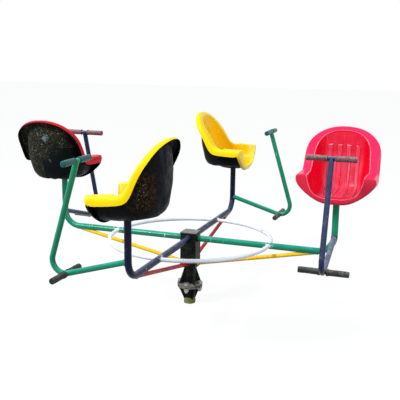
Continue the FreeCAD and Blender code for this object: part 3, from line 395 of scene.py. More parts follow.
def enamel(name, colour, shade, faded, chips=0.5, dust=0.5, gloss=0.24, splashed=False,
           shine=0.11, below=None):
    """Brushed gloss enamel on steel pipe: colour drift, a paler top, dust, chips and rust.

    The paler top is partly sun fade and partly painted highlight; a below colour, where given,
    is painted shade on faces that look down.
    """
    s = Shader(name, colour)
    s.cover(shade, s.fit(s.noise(9, 4), 0.35, 0.7))
    # Paler on top: partly sun fade, partly a painted highlight standing in for the sky's light on
    # the upper side.
    top = s.fit(s.up(), 0.15, 0.95)
    s.cover(faded, s.both(top, s.fit(s.noise(22, 5), 0.3, 0.75, 0.15, 0.85)))
    # Painted shade: the below colour darkens the faces that look down.
    if below:
        s.cover(below, s.fit(s.up(), -0.5, -0.95))
    s.cover(shade, s.fit(s.noise(60, 4, place=s.stretched((1, 1, 0.12))), 0.56, 0.74), 0.28)
    dirt = s.both(top, s.fit(s.noise(130, 6, 0.7), 0.5, 0.76), dust)
    s.cover(rgb(150, 142, 126), dirt)
    pale = tuple(0.45 * part + 0.42 for part in faded[:3]) + (1.0,)
    s.cover(pale, s.fit(s.noise(44, 3, place=s.stretched((1, 1, 0.3))), 0.66, 0.7),
            s.fit(s.noise(11, 2), 0.48, 0.6), 0.7)
    if splashed:
        off_ring = s.off(s.axis_distance(), RING_REACH)
        s.cover(rgb(214, 220, 226), s.fit(off_ring, 34 * MM, 12 * MM),
                s.fit(s.noise(75, 4, 0.6), 0.5, 0.58), 0.85)
    chipped = s.add(s.noise(34, 3), s.both(s.noise(240, 4, 0.65), 0.22))
    chip = s.fit(chipped, 0.83 - 0.07 * chips, 0.845 - 0.07 * chips)
    rusty = s.fit(s.noise(420, 3), 0.4, 0.6)
    s.cover(s.mix(rusty, rgb(132, 120, 108), rgb(104, 58, 34)), chip)
    s.cover(rgb(70, 48, 34), s.fit(s.cells(210), 0.11, 0.05), s.fit(s.noise(30, 2), 0.5, 0.62),
            0.7)
    peel = s.bump(s.noise(330, 2), 0.25 * MM, 0.35)
    brush = s.bump(s.noise(120, 3, place=s.stretched((1, 1, 0.2))), 0.4 * MM, 0.3, peel)
    normal = s.bump(s.maths("SUBTRACT", 1.0, chip), 0.35 * MM, 0.9, brush)
    rough = s.add(s.fit(s.noise(48, 4), 0.3, 0.7, gloss - 0.06, gloss + 0.12),
                  s.both(s.add(chip, dirt), 0.35))
    return s.finish(rough, normal, specular=shine)


def gelcoat(name, colour, deep, faded, scuff_and_highlight, worn, front, fade_by=1.0):
    """Weathered glossy moulded plastic: deep in the bowl, faded on the flange, scuffed slats.

    Some of it is painted light: dark lines painted as shadow beside the slats, a painted
    highlight along the mouth and on the slats' top ends in the scuff and highlight colour, and
    on the yellow seats a pale front colour painted in for light bounced round the bowl.
    """
    s = Shader(name, colour)
    rib, pan = s.attribute("rib"), s.attribute("pan")
    place = s.attribute("seat_place", "Vector")
    outputs = s.split(place)
    s.cover(deep, s.fit(s.noise(7, 3), 0.3, 0.7))
    s.cover(faded, s.attribute("flange"), s.fit(s.noise(12, 4), 0.25, 0.7, 0.6, 1.0), fade_by)
    # Front zone: the apron and the bowl's front inner walls. On the yellow seats its pale colour
    # is painted light, standing in for light bounced round the bowl.
    s.cover(front, s.attribute("front"))
    cloud = s.fit(s.noise(26, 5, place=place), 0.34, 0.62)
    s.cover(worn, pan, s.add(0.45, s.both(cloud, 0.5)))
    streaks = s.noise(95, 3, 0.6, s.stretched((0.05, 1.0, 0.05), place))
    s.cover(scuff_and_highlight, s.fit(streaks, 0.56, 0.72), pan, 0.3)
    grime = s.noise(120, 3, 0.6, s.stretched((0.04, 1.0, 0.04), place))
    s.cover(darker(deep, 0.42), s.fit(grime, 0.58, 0.7), pan, 0.5)
    # Painted shadow: dark lines down the slats' sides, below their top ends, standing in for the
    # shade beside each slat.
    across = s.maths("PINGPONG", outputs["Y"], RIB_STEP * MM / 2)
    edge = s.fit(s.off(across, (RIB_STEP / 2 - RIB_HALF) * MM), 1.5 * MM, 0.5 * MM)
    below = s.fit(outputs["Z"], (RIB_TOP - 1) * MM, (RIB_TOP - 4) * MM)
    patchy_rib_shadow = s.fit(s.noise(38, 3, place=place), 0.38, 0.55, 0.25, 1.0)
    s.cover(darker(deep, 0.3), edge, pan, below, patchy_rib_shadow, 0.62)
    # Painted highlight on the slats' upturned top ends.
    s.cover(scuff_and_highlight, s.fit(s.off(outputs["Z"], RIB_TOP * MM), 4.5 * MM, 2.5 * MM), rib, 0.85)
    s.cover(scuff_and_highlight, s.fit(s.cells(85), 0.1, 0.05), s.fit(s.noise(21, 3), 0.52, 0.62), 0.6)
    # Painted highlight: a pale line along the mouth's rolled edge.
    s.cover(scuff_and_highlight, s.attribute("mouth"), s.fit(s.noise(33, 3), 0.36, 0.56, 0.3, 0.85))
    s.cover(rgb(112, 84, 52), s.fit(s.noise(75, 6, 0.7), 0.53, 0.75), s.fit(s.up(), 0.2, 1.0),
            0.26)
    grain = s.bump(s.noise(520, 2), 0.15 * MM, 0.25)
    ripple = s.bump(s.noise(36, 2), 0.7 * MM, 0.22, grain)
    rough = s.add(s.fit(s.noise(30, 4), 0.3, 0.7, 0.2, 0.36), s.both(rib, 0.06))
    return s.finish(rough, ripple, specular=0.12)


def resin_back(name, tint, specks, speck_share, cluster, patches=(), band=None, seams=False,
               dull_share=0.3):
    """Black resin brushed over chopped glass strands on the underside of a moulding.

    The specks gather round the cluster's place. The band is a painted reflection: a bluish
    upright stripe that stands in for the sky seen in the gloss. The patches are spots where
    something pale shows. With seams, a painted shadow line lies in each mat edge's crease and a
    painted highlight line runs beside it.
    """
    s = Shader(name, rgb(9, 10, 9))
    s.place = s.attribute("seat_place", "Vector")
    _, y, z = s.split()
    ragged = s.fit(s.noise(12, 4, 0.6), 0.3, 0.7, -0.05, 0.05)
    near = s.fit(s.add(s.distance(cluster[0]), ragged), cluster[1], cluster[1] * 0.5, 0.12, 1.0)
    if seams:
        above = s.most(s.fit(z, (SEAM_LEVEL - 4) * MM, (SEAM_LEVEL + 4) * MM),
                       s.fit(y, (SEAM_SIDE - 6) * MM, (SEAM_SIDE + 6) * MM))
        near = s.most(near, s.both(above, 0.72))
    s.cover(tint, s.fit(s.noise(17, 6, 0.62), 0.42, 0.7))
    fine = s.noise(230, 5, 0.75)
    s.cover(tint, s.fit(fine, 0.46, 0.66), near, 0.75)
    s.cover(darker(specks, 0.22), s.fit(s.noise(38, 6, 0.75), 0.48, 0.62), near, 0.5)
    s.cover(rgb(52, 60, 66), s.fit(s.noise(330, 3, 0.7), 0.52, 0.62),
            s.fit(s.noise(30, 4, 0.6), 0.36, 0.6, 0.25, 1.0), dull_share)
    strand = s.noise(210, 2, 0.5, s.stretched((0.9, 0.2, 1.0)))
    strand_b = s.noise(220, 2, 0.5, s.stretched((1.0, 1.0, 0.2)))
    lines = s.most(s.fit(strand, 0.6, 0.66), s.fit(strand_b, 0.6, 0.66))
    s.cover(specks, lines, near, s.fit(s.noise(48, 3), 0.5, 0.64), 0.55 * speck_share)
    s.cover(specks, s.fit(s.cells(300), 0.42, 0.26), s.fit(fine, 0.5, 0.6), near, speck_share)
    s.cover(specks, s.fit(s.noise(125, 3, 0.65), 0.56, 0.64), near,
            s.fit(s.noise(30, 3, 0.6), 0.42, 0.56), 0.6 * speck_share)
    holes = s.noise(105, 3, 0.6, s.stretched((1.1, 0.9, 1.0)))
    s.cover(rgb(7, 8, 8), s.fit(holes, 0.55, 0.62), 0.6)
    s.cover(rgb(186, 180, 158), s.fit(s.cells(105), 0.24, 0.12), near,
            s.fit(s.noise(24, 3), 0.5, 0.6), speck_share)
    s.cover(rgb(12, 18, 21), s.fit(near, 0.15, 0.6, 0.8, 0.0))
    # Painted reflection: a bluish upright stripe of sky seen in the gloss, where a band is given.
    if band:
        sky_reflection_streak = s.noise(30, 4, 0.6, s.stretched((1.0, 1.0, 0.12)))
        s.cover(rgb(48, 60, 84), s.fit(s.off(y, band[0]), band[1], band[1] * 0.3),
                s.fit(sky_reflection_streak, 0.42, 0.62), s.fit(z, 0.03, 0.1), 0.9)
    # Painted shadow: a dark line in the crease along each mat's edge. Painted highlight: a lighter
    # line on the step just above and beside it.
    if seams:
        flat = s.both(s.fit(s.off(z, SEAM_LEVEL * MM), 2.6 * MM, 0.8 * MM),
                      s.maths("LESS_THAN", y, (SEAM_SIDE - 18) * MM))
        upright = s.both(s.fit(s.off(y, SEAM_SIDE * MM), 2.4 * MM, 0.8 * MM),
                         s.maths("LESS_THAN", z, (SEAM_LEVEL + 4) * MM))
        s.cover(rgb(2, 3, 3), s.most(flat, upright), s.fit(s.noise(60, 3), 0.36, 0.5, 0.3, 0.9))
        lit = s.most(s.fit(s.off(z, (SEAM_LEVEL + 4.5) * MM), 2.2 * MM, 0.8 * MM),
                     s.fit(s.off(y, (SEAM_SIDE + 4.5) * MM), 2.2 * MM, 0.8 * MM))
        s.cover(rgb(70, 76, 74), lit, s.fit(fine, 0.4, 0.6), 0.4)
    for centre, radius, colour in patches:
        ragged = s.fit(s.noise(90, 5, 0.7), 0.3, 0.7, -0.7 * radius, 0.7 * radius)
        s.cover(colour, s.fit(s.add(s.distance(centre), ragged), radius, radius * 0.5),
                s.fit(s.noise(170, 4, 0.7), 0.36, 0.6, 0.25, 0.85))
    lumps = s.bump(s.noise(60, 5, 0.6), 3.2 * MM, 0.75)
    fibres = s.bump(s.add(strand, s.add(strand_b, fine)), 1.1 * MM, 0.7, lumps)
    return s.finish(s.fit(s.noise(44, 4), 0.3, 0.7, 0.24, 0.6), fibres, specular=0.03)


def rubber(name, colour, dusty, rough, dust, darker_to_left=False):
    """Rubber with dust worked into its upper side, and, where asked, less of its pale cover to the
    left.
    """
    s = Shader(name, colour)
    share = s.fit(s.split()["X"], -0.5, 0.3, 0.22, 1.0) if darker_to_left else 1.0
    s.cover(dusty, s.fit(s.noise(70, 4), 0.35, 0.7, 0, 0.35), share)
    s.cover(dusty, s.fit(s.up(), 0.1, 0.8), s.fit(s.noise(110, 5, 0.65), 0.35, 0.65), dust, share)
    s.cover(rgb(84, 70, 58), s.fit(s.cells(330), 0.16, 0.06), 0.4)
    grain = s.bump(s.noise(900, 2), 0.2 * MM, 0.4)
    normal = s.bump(s.noise(160, 4), 0.5 * MM, 0.4, grain)
    return s.finish(s.fit(s.noise(90, 3), 0.3, 0.7, rough - 0.1, rough + 0.14), normal,
                    specular=0.2)


def zinc(name, bright, dull, rust=0.5):
    """Plated steel with spangles, grey bloom and a little rust."""
    s = Shader(name, bright)
    spangle = s.node("ShaderNodeSeparateColor", {0: s.cells(260, "Color")}).outputs
    s.cover(dull, s.fit(spangle[0], 0.1, 0.9))
    s.cover(rgb(142, 140, 130), s.fit(s.noise(90, 5, 0.65), 0.45, 0.7))
    worn = s.both(s.fit(s.noise(120, 5, 0.7), 0.56, 0.68), rust)
    s.cover(rgb(118, 76, 46), worn)
    rough = s.add(s.fit(spangle[1], 0, 1, 0.34, 0.52), s.both(worn, 0.3))
    return s.finish(rough, s.bump(s.noise(420, 4), 0.25 * MM, 0.5), s.fit(worn, 0, 1, 0.75, 0.2))


def dirty_black(name, moss=0.4, rim=None):
    """Thick black paint over rust, with dust on top, green growth and a rim worn bare."""
    s = Shader(name, rgb(5, 8, 9))
    s.cover(rgb(17, 21, 20), s.fit(s.noise(26, 5), 0.35, 0.7))
    s.cover(rgb(46, 58, 32), s.fit(s.noise(20, 4), 0.47, 0.66), moss)
    s.cover(rgb(92, 60, 34), s.fit(s.noise(85, 6, 0.7), 0.6, 0.68),
            s.fit(s.noise(14, 2), 0.42, 0.6), 0.85)
    top = s.both(s.fit(s.up(), 0.55, 0.98), s.fit(s.noise(60, 6, 0.7), 0.3, 0.62, 0.45, 1.0),
                 0.85)
    s.cover(rgb(148, 152, 154), top)
    scrape = s.noise(190, 3, place=s.stretched((1, 1, 0.3)))
    s.cover(rgb(120, 116, 106), s.fit(scrape, 0.67, 0.72), 0.35)
    s.cover(rgb(132, 92, 56), s.fit(s.cells(85), 0.14, 0.07), s.fit(s.noise(18, 3), 0.42, 0.56),
            0.8)
    if rim:
        s.cover(rgb(136, 130, 120), s.fit(s.axis_distance(), rim - 5 * MM, rim - 1 * MM),
                s.fit(s.noise(60, 5, 0.7), 0.4, 0.56, 0.12, 1.0), 0.85)
    peel = s.bump(s.noise(210, 4), 0.5 * MM, 0.5)
    normal = s.bump(s.noise(40, 4), 1.2 * MM, 0.4, peel)
    rough = s.add(s.fit(s.noise(50, 4), 0.3, 0.7, 0.3, 0.5), s.both(top, 0.3))
    return s.finish(rough, normal, specular=0.07)


def earth(name):
    s = Shader(name, rgb(96, 80, 58))
    grit = s.noise(150, 8, 0.7)
    s.cover(rgb(170, 156, 130), s.fit(grit, 0.35, 0.65))
    s.cover(rgb(92, 118, 48), s.fit(s.noise(38, 4), 0.48, 0.6))
    s.cover(rgb(40, 36, 30), s.fit(s.split()["Z"], 0.03, 0.075), 0.85)
    return s.finish(0.92, s.bump(grit, 2.4 * MM, 0.9), specular=0.2)


def painted_bolts(name):
    """Bolt heads coated with each seat's own colour, black below the plate."""
    s = Shader(name, rgb(252, 196, 6))
    x, y, z = s.split()
    sideways = s.maths("GREATER_THAN", s.maths("ABSOLUTE", x), s.maths("ABSOLUTE", y))
    s.cover(rgb(226, 8, 44), sideways)
    s.cover(rgb(120, 96, 74), s.fit(s.noise(260, 4), 0.5, 0.62, 0, 0.6))
    s.cover(rgb(16, 15, 14), s.maths("LESS_THAN", z, POST_TOP + PLATE_THICK))
    return s.finish(0.42, s.bump(s.noise(300, 3), 0.3 * MM, 0.4), specular=0.2)


PAINTS = {
    "navy": enamel("navy_enamel", rgb(8, 16, 58), rgb(4, 9, 38), rgb(74, 94, 138), 0.5, 0.12, 0.2,
                   splashed=True, shine=0.12),
    # Green's below colour is painted shade on the pipes' undersides.
    "green": enamel("green_enamel", rgb(0, 138, 104), rgb(0, 116, 86), rgb(30, 182, 164), 0.5,
                    0.15, 0.18, splashed=True, shine=0.22, below=rgb(0, 98, 70)),
    "red": enamel("red_enamel", rgb(176, 16, 30), rgb(140, 12, 24), rgb(196, 62, 76), 0.4, 0.3),
    "yellow": enamel("yellow_enamel", rgb(255, 206, 10), rgb(250, 190, 4), rgb(255, 224, 72),
                     0.2, 0.12),
    # White's below colour is painted shade on the ring's underside.
    "white": enamel("white_enamel", rgb(234, 241, 251), rgb(216, 226, 242), rgb(250, 252, 255),
                    0.2, 0.1, below=rgb(150, 164, 190)),
    "black": dirty_black("black_enamel"),
}
navy_worn = enamel("navy_enamel_worn", rgb(42, 56, 100), rgb(14, 22, 58), rgb(142, 156, 180),
                   0.9, 0.4, 0.18, shine=0.16)
pedestal_black = dirty_black("black_enamel_weathered", 0.25, FLANGE_REACH)
galvanised = zinc("galvanised_steel", rgb(178, 184, 184), rgb(140, 146, 148))
bearing_steel = zinc("bearing_steel", rgb(186, 188, 190), rgb(160, 162, 166), 0.1)
bare_steel = zinc("bare_steel", rgb(146, 146, 148), rgb(112, 112, 114))
ribbed_rubber = rubber("ribbed_grip_rubber", rgb(96, 54, 48), rgb(168, 144, 154), 0.55, 1.1)
teal_rubber = rubber("teal_grip_rubber", rgb(2, 76, 80), rgb(14, 100, 102), 0.32, 0.3)
black_rubber = rubber("foot_sleeve_rubber", rgb(34, 38, 42), rgb(122, 124, 114), 0.6, 0.8,
                      darker_to_left=True)
# Yellow gelcoat: its sixth colour, the pale front, is painted light for light bounced round the
# bowl.
yellow_shell = gelcoat("yellow_gelcoat", rgb(255, 206, 0), rgb(255, 198, 0), rgb(254, 224, 14),
                       rgb(255, 238, 170), rgb(255, 204, 4), rgb(255, 226, 84), 0.95)
red_shell = gelcoat("red_gelcoat", rgb(232, 4, 42), rgb(210, 2, 34), rgb(230, 42, 96),
                    rgb(255, 196, 208), rgb(226, 78, 110), rgb(220, 40, 70))
# A darker, less faded copy of the red gelcoat for the left seat, seen from behind; its darkness is
# painted shade.
shaded_red_shell = gelcoat("shaded_red_gelcoat", rgb(200, 4, 28), rgb(182, 2, 24), rgb(204, 26, 46),
                         rgb(240, 130, 140), rgb(186, 30, 44), rgb(178, 34, 40), 0.8)
brown_resin = resin_back("black_resin_brown", rgb(20, 15, 12), rgb(128, 92, 66), 0.8,
                         ((-0.125, 0.15, 0.13), 0.12), band=(0.045, 0.028))
green_resin = resin_back("black_resin_green", rgb(20, 24, 21), rgb(118, 118, 92), 0.95,
                         ((-0.19, 0.06, 0.22), 0.15),
                         [((-0.208, -0.008, 0.234), 0.021, rgb(124, 140, 146)),
                          ((-0.190, -0.030, 0.112), 0.01, rgb(96, 110, 120))],
                         seams=True, dull_share=0.22)
SHELL = {"front": yellow_shell, "back": yellow_shell, "right": red_shell, "left": shaded_red_shell}
RESIN = {"front": brown_resin, "back": brown_resin, "right": green_resin, "left": green_resin}


def repaint(material, *names):
    for name in names:
        mesh = nodes[name].data
        mesh.materials.clear()
        mesh.materials.append(material)


for side in SIDES:
    on_navy = side in NAVY_SIDES
    repaint(PAINTS["navy" if on_navy else "green"], f"arm_{side}")
    repaint(PAINTS["red" if on_navy else "yellow"], f"brace_{side}")
    repaint(PAINTS["green"] if on_navy else navy_worn, f"handle_tube_{side}", f"hand_bar_{side}")
    repaint(PAINTS["white"], f"ring_arc_{side}")
    repaint(black_rubber, f"foot_bar_{side}")
repaint(PAINTS["black"], "hub_housing", "hub_top_cap", "seat_plates")
repaint(pedestal_black, "lower_flange", "upper_flange", "lower_gussets", "upper_gussets",
        "spindle", "ground_stub")
repaint(galvanised, "flange_bolts", "flange_washers", "flange_nuts", "spindle_washer",
        "spindle_nut", "cotter_pin")
repaint(painted_bolts("painted_seat_bolts"), "seat_bolts", "seat_nuts")
repaint(bearing_steel, "lower_bearing_inner_ring", "lower_bearing_outer_ring",
        "lower_bearing_balls", "upper_bearing_inner_ring", "upper_bearing_outer_ring",
        "upper_bearing_balls")
repaint(bare_steel, "bearing_spacer", "lower_bearing_seat", "upper_bearing_seat")
repaint(black_rubber, "hub_seal")


# ---------------------------------------------------------------- seats

SEAT = {"thick": 5, "front": 100, "back": 224, "half": 198, "apron": 31, "rest": 109,
        "top": 338, "fold": 9, "lip": 36, "low_bulge": 14, "high_bulge": 16}
# Stations round the moulding: share of the reach from the post, of the half width, and a
# height with 0 at the apron's foot, 1 at the arm rests and 2 at the top of the back.
RIM = [(1.00, 0.00, 0.00), (1.00, 0.33, 0.04), (1.00, 0.66, 0.28), (1.00, 0.90, 0.58),
       (1.00, 0.985, 0.82), (0.985, 1.00, 0.955), (0.90, 1.00, 0.995), (0.50, 1.00, 1.00),
       (-0.09, 1.00, 1.01), (-0.28, 1.00, 1.03), (-0.39, 0.995, 1.12), (-0.52, 0.985, 1.35),
       (-0.66, 0.95, 1.56), (-0.79, 0.84, 1.73), (-0.90, 0.62, 1.88), (-0.975, 0.33, 1.97),
       (-1.00, 0.00, 2.00)]
MOUTH = [(1.05, 0.00, 0.24), (1.05, 0.23, 0.25), (1.05, 0.45, 0.33), (1.05, 0.57, 0.49),
         (1.05, 0.65, 0.75), (1.035, 0.69, 0.945), (0.95, 0.705, 0.99), (0.52, 0.72, 1.00),
         (-0.06, 0.73, 1.01), (-0.24, 0.73, 1.04), (-0.36, 0.725, 1.15), (-0.49, 0.705, 1.35),
         (-0.62, 0.675, 1.53), (-0.73, 0.595, 1.68), (-0.81, 0.445, 1.80), (-0.855, 0.23, 1.87),
         (-0.87, 0.00, 1.89)]
FLOOR = [(0.84, 0.00), (0.84, 0.15), (0.81, 0.30), (0.74, 0.42), (0.64, 0.49), (0.56, 0.52),
         (0.46, 0.54), (0.20, 0.56), (-0.07, 0.565), (-0.20, 0.565), (-0.33, 0.56),
         (-0.45, 0.54), (-0.56, 0.49), (-0.65, 0.405), (-0.71, 0.285), (-0.74, 0.15),
         (-0.75, 0.00)]
LIP = [0.4, 0.4, 0.4, 0.45, 0.66, 0.95, 1.06, 1.0, 1.0, 1.0, 0.95, 0.9, 0.85, 0.75, 0.65, 0.6,
       0.55]
# The way the lip turns down at the stations round an arm rest's front corner.
CORNER_LIPS = {4: (-0.86, -0.06, -0.51), 5: (-0.68, -0.04, -0.73), 6: (-0.5, -0.02, -0.86)}
PAD_SHARES = (0.68, 0.84)
MOUTH_FOLD = 3.2
# Samples in each span: round the moulding, from the front's middle to the back's, and across it.
ALONG = [8] * 4 + [10, 10] + [8] * 5 + [14, 16, 18, 20, 20]
ACROSS = [8, 13, 14, 13, 8, 5, 6, 7, 6, 6]
PAD_RINGS = 26
PAD_MIDDLE = np.array([-0.2 * SEAT["front"], 0, SEAT["thick"]])


def station(reach, across, height=None):
    forward = reach * SEAT["front" if reach >= 0 else "back"]
    if height is None:
        level = SEAT["thick"]
    elif height <= 1:
        level = -SEAT["apron"] + height * (SEAT["rest"] + SEAT["apron"])
    else:
        level = SEAT["rest"] + (height - 1) * (SEAT["top"] - SEAT["rest"])
    return (forward, across * SEAT["half"], level)


def whole_ring(half):
    points = np.array([station(*entry) for entry in half], float)
    return np.vstack([points, points[-2:0:-1] * (1, -1, 1)])


def control_rows():
    """Rings of surface points from the flat pad out to the lip's edge."""
    rim, mouth, floor = whole_ring(RIM), whole_ring(MOUTH), whole_ring(FLOOR)
    lips = np.array(LIP + LIP[-2:0:-1])[:, None]
    outward = unit(floor - PAD_MIDDLE)
    rise = np.clip((mouth[:, 2:] - floor[:, 2:]) / SEAT["rest"], 0, 1)
    low_wall = floor + (mouth - floor) * 0.25 + outward * SEAT["low_bulge"] * rise
    high_wall = floor + (mouth - floor) * 0.62 + outward * SEAT["high_bulge"] * rise
    along = np.roll(rim, -1, 0) - np.roll(rim, 1, 0)
    across = unit(rim - mouth)
    normal = unit(np.cross(across, along))
    wrong = np.sum(normal * (mouth - high_wall), 1) > 0
    normal[wrong] *= -1
    for _ in range(2):
        normal = unit(normal * 2 + np.roll(normal, 1, 0) + np.roll(normal, -1, 0))
    for number, way in CORNER_LIPS.items():
        normal[number] = unit(np.array(way))
        normal[-number] = normal[number] * (1, -1, 1)
    fold, lip = SEAT["fold"], SEAT["lip"] * lips
    return [*(PAD_MIDDLE + (floor - PAD_MIDDLE) * share for share in PAD_SHARES),
            floor, low_wall, high_wall, mouth + (high_wall - mouth) * 0.25,
            mouth + unit(high_wall - mouth) * MOUTH_FOLD, mouth + across * MOUTH_FOLD,
            (mouth + rim) / 2 - normal * 1.5, rim - across * fold, rim + normal * fold,
            rim + normal * (fold + (lip - fold) * 0.55), rim + normal * lip]


def closed_row(points):
    """A closed cubic through the points, sampled in each span by ALONG and its mirror."""
    poles = points.copy()
    for _ in range(40):
        poles = poles + points - (np.roll(poles, 1, 0) + poles * 4 + np.roll(poles, -1, 0)) / 6
    line = []
    for index, samples in enumerate(ALONG + ALONG[::-1]):
        p0, p1, p2, p3 = np.roll(poles, 1 - index, 0)[:4]
        t = np.arange(samples)[:, None] / samples
        line.append((p0 * (1 - t) ** 3 + p1 * (3 * t ** 3 - 6 * t ** 2 + 4)
                     + p2 * (-3 * t ** 3 + 3 * t ** 2 + 3 * t + 1) + p3 * t ** 3) / 6)
    return np.vstack(line)


def across_rows(rows):
    """A clamped cubic across the rows: levels 0 to the number of spans."""
    spans = len(rows) - 3
    knots = np.concatenate([[0] * 3, np.arange(spans + 1), [spans] * 3]).astype(float)
    levels = np.concatenate([span + np.arange(samples) / samples
                             for span, samples in enumerate(ACROSS)] + [[spans]])
    inside = np.minimum(levels.astype(int), spans - 1) + 3
    weights = np.eye(len(knots) - 1)[inside]
    for degree in (1, 2, 3):
        width = knots[degree:] - knots[:-degree]
        share = (levels[:, None] - knots[:-degree]) / np.where(width > 0, width, np.inf)
        weights = share[:, :-1] * weights[:, :-1] + (1 - share[:, 1:]) * weights[:, 1:]
    return np.einsum("lr,rac->lac", weights, np.array(rows)), levels


def grid_normals(grid):
    around = np.roll(grid, -1, 1) - np.roll(grid, 1, 1)
    outward = np.gradient(grid, axis=0)
    return unit(np.cross(outward, around))


def seat_surface():
    """The moulding's upper surface in millimetres, as a grid of rings from the pad's middle."""
    rows = [closed_row(row) for row in control_rows()]
    outer, levels = across_rows(rows)
    shares = (np.arange(1, PAD_RINGS) / PAD_RINGS)[:, None, None]
    inner = PAD_MIDDLE + (outer[:1] - PAD_MIDDLE) * shares
    grid = np.vstack([inner, outer])
    levels = np.concatenate([np.zeros(PAD_RINGS - 1), levels])
    return grid, levels


def mound(x, y, at, reach):
    """1 at a place, falling away over a reach each way."""
    return np.exp(-((x - at[0]) / reach[0]) ** 2 - ((y - at[1]) / reach[1]) ** 2)


def seat_zones(x, y, z, level):
    """How much of each zone a point of the upper surface is in, 0 to 1."""
    return {
        "flange": smooth_step(level, 5.35, 5.65) * np.ones(x.shape),
        # Front zone: apron faces and the bowl's front inner walls, where the yellow seats get a
        # pale colour that is painted light.
        "front": np.where(level > 5.4, smooth_step(x, 84, 98),
                          smooth_step(x, 45, 78) * smooth_step(level, 1.5, 3)),
        # Mouth zone: a thin line along the mouth's edge, weaker high up, that carries a painted
        # highlight.
        "mouth": np.exp(-((level - 5.6) / 0.13) ** 2) * (1 - 0.6 * smooth_step(z, 240, 320)),
        "pan": (smooth_step(np.abs(y), 104, 84) * (1 - 0.7 * smooth_step(z, 120, 215))
                * smooth_step(x, 74, 58) * (level < 5)),
        "rib": np.zeros(x.shape),
    }


def seat_grids(side):
    """Upper and under surfaces with their details, and the zones of the upper one's points.

    Levels run across the moulding: 1 is the floor's edge, 5.5 the mouth, 8.5 the rim and 10 the
    lip's edge.
    """
    grid, levels = seat_surface()
    normals = grid_normals(grid)
    x, y, z = grid[..., 0], grid[..., 1], grid[..., 2]
    level = levels[:, None]
    flat = grid.reshape(-1, 3)
    # A rolled mouth, arm rests that step up and in, and a hand-made unevenness.
    top = grid + normals * (np.exp(-((level - 5.5) / 0.42) ** 2) * 1.3)[..., None]
    rise = smooth_step(x, -26, -13) * smooth_step(level, 4.6, 5.4) * smooth_step(level, 9.2, 8.2)
    top[..., 2] += (rise * 6.0 * (1 - smooth_step(np.abs(y), 185, 205) * 0.3)
                    * smooth_step(z, 60, 100))
    step_in = (smooth_step(x, -25, -14) * smooth_step(level, 2.0, 4.0)
               * smooth_step(level, 6.2, 5.4) * smooth_step(x, 100, 86)
               * smooth_step(np.abs(y), 90, 120))
    top[..., 1] -= np.sign(y) * step_in * 6.0
    top += normals * (waves(flat, 90, 5) * 0.45).reshape(x.shape)[..., None]
    # Glass mats and resin underneath, kept clear of the plate's place.
    wall = smooth_step(level, 5.2, 4.4)
    lumps = np.clip(0.5 + 0.5 * waves(flat, 46, 11).reshape(x.shape), 0, 1.3) * wall
    mats = wall * (1.4 * smooth_step(z, SEAM_LEVEL - 3, SEAM_LEVEL + 3)
                   + 1.1 * smooth_step(y, SEAM_SIDE - 3, SEAM_SIDE + 4))
    clear = smooth_step(np.maximum(np.abs(x), np.abs(y)), 62, 74)
    front_lump = mound(x, np.abs(y), (66, 60), (22, 36)) * smooth_step(level, 2.6, 1.8)
    depth = (SEAT["thick"] - 1.5 * smooth_step(level, 5.4, 8.0)
             + clear * (lumps * 3.0 + mats + front_lump * 9))
    if side == "left":
        run = mound(x, y, (-96, 4), (22, 24)) * smooth_step(level, 5, 4)
        depth += 11 * run * (z < 60)
    share = smooth_step(level, 1.9, 1.0)[..., None]
    down = unit(-normals * (1 - share) + np.array([0, 0, -1.0]) * share)
    depth = np.minimum(depth, clear_depth(top, down))
    return top, grid + down * depth[..., None], seat_zones(x, y, z, level)


def surface_tree(top):
    return BVHTree.FromPolygons([Vector(p) for p in top.reshape(-1, 3)],
                                grid_faces(*top.shape[:2]))


def clear_depth(top, down):
    """How thick the wall may be at each point before it would meet the upper surface again."""
    rows, columns = top.shape[:2]
    surface = surface_tree(top)
    room = np.full((rows, columns), 40.0)
    for row in range(PAD_RINGS, rows):
        for column in range(columns):
            way = Vector(down[row, column])
            start = Vector(top[row, column]) + way * 2.2
            found = surface.ray_cast(start, way, 26)[3]
            if found is not None:
                room[row, column] = 0.4 * (found + 2.2)
    room = np.maximum(room, 1.2)
    for _ in range(3):
        spread = np.minimum(np.roll(room, 1, 1), np.roll(room, -1, 1))
        spread[1:] = np.minimum(spread[1:], room[:-1])
        spread[:-1] = np.minimum(spread[:-1], room[1:])
        room = np.minimum(room, spread * 1.25)
    return room


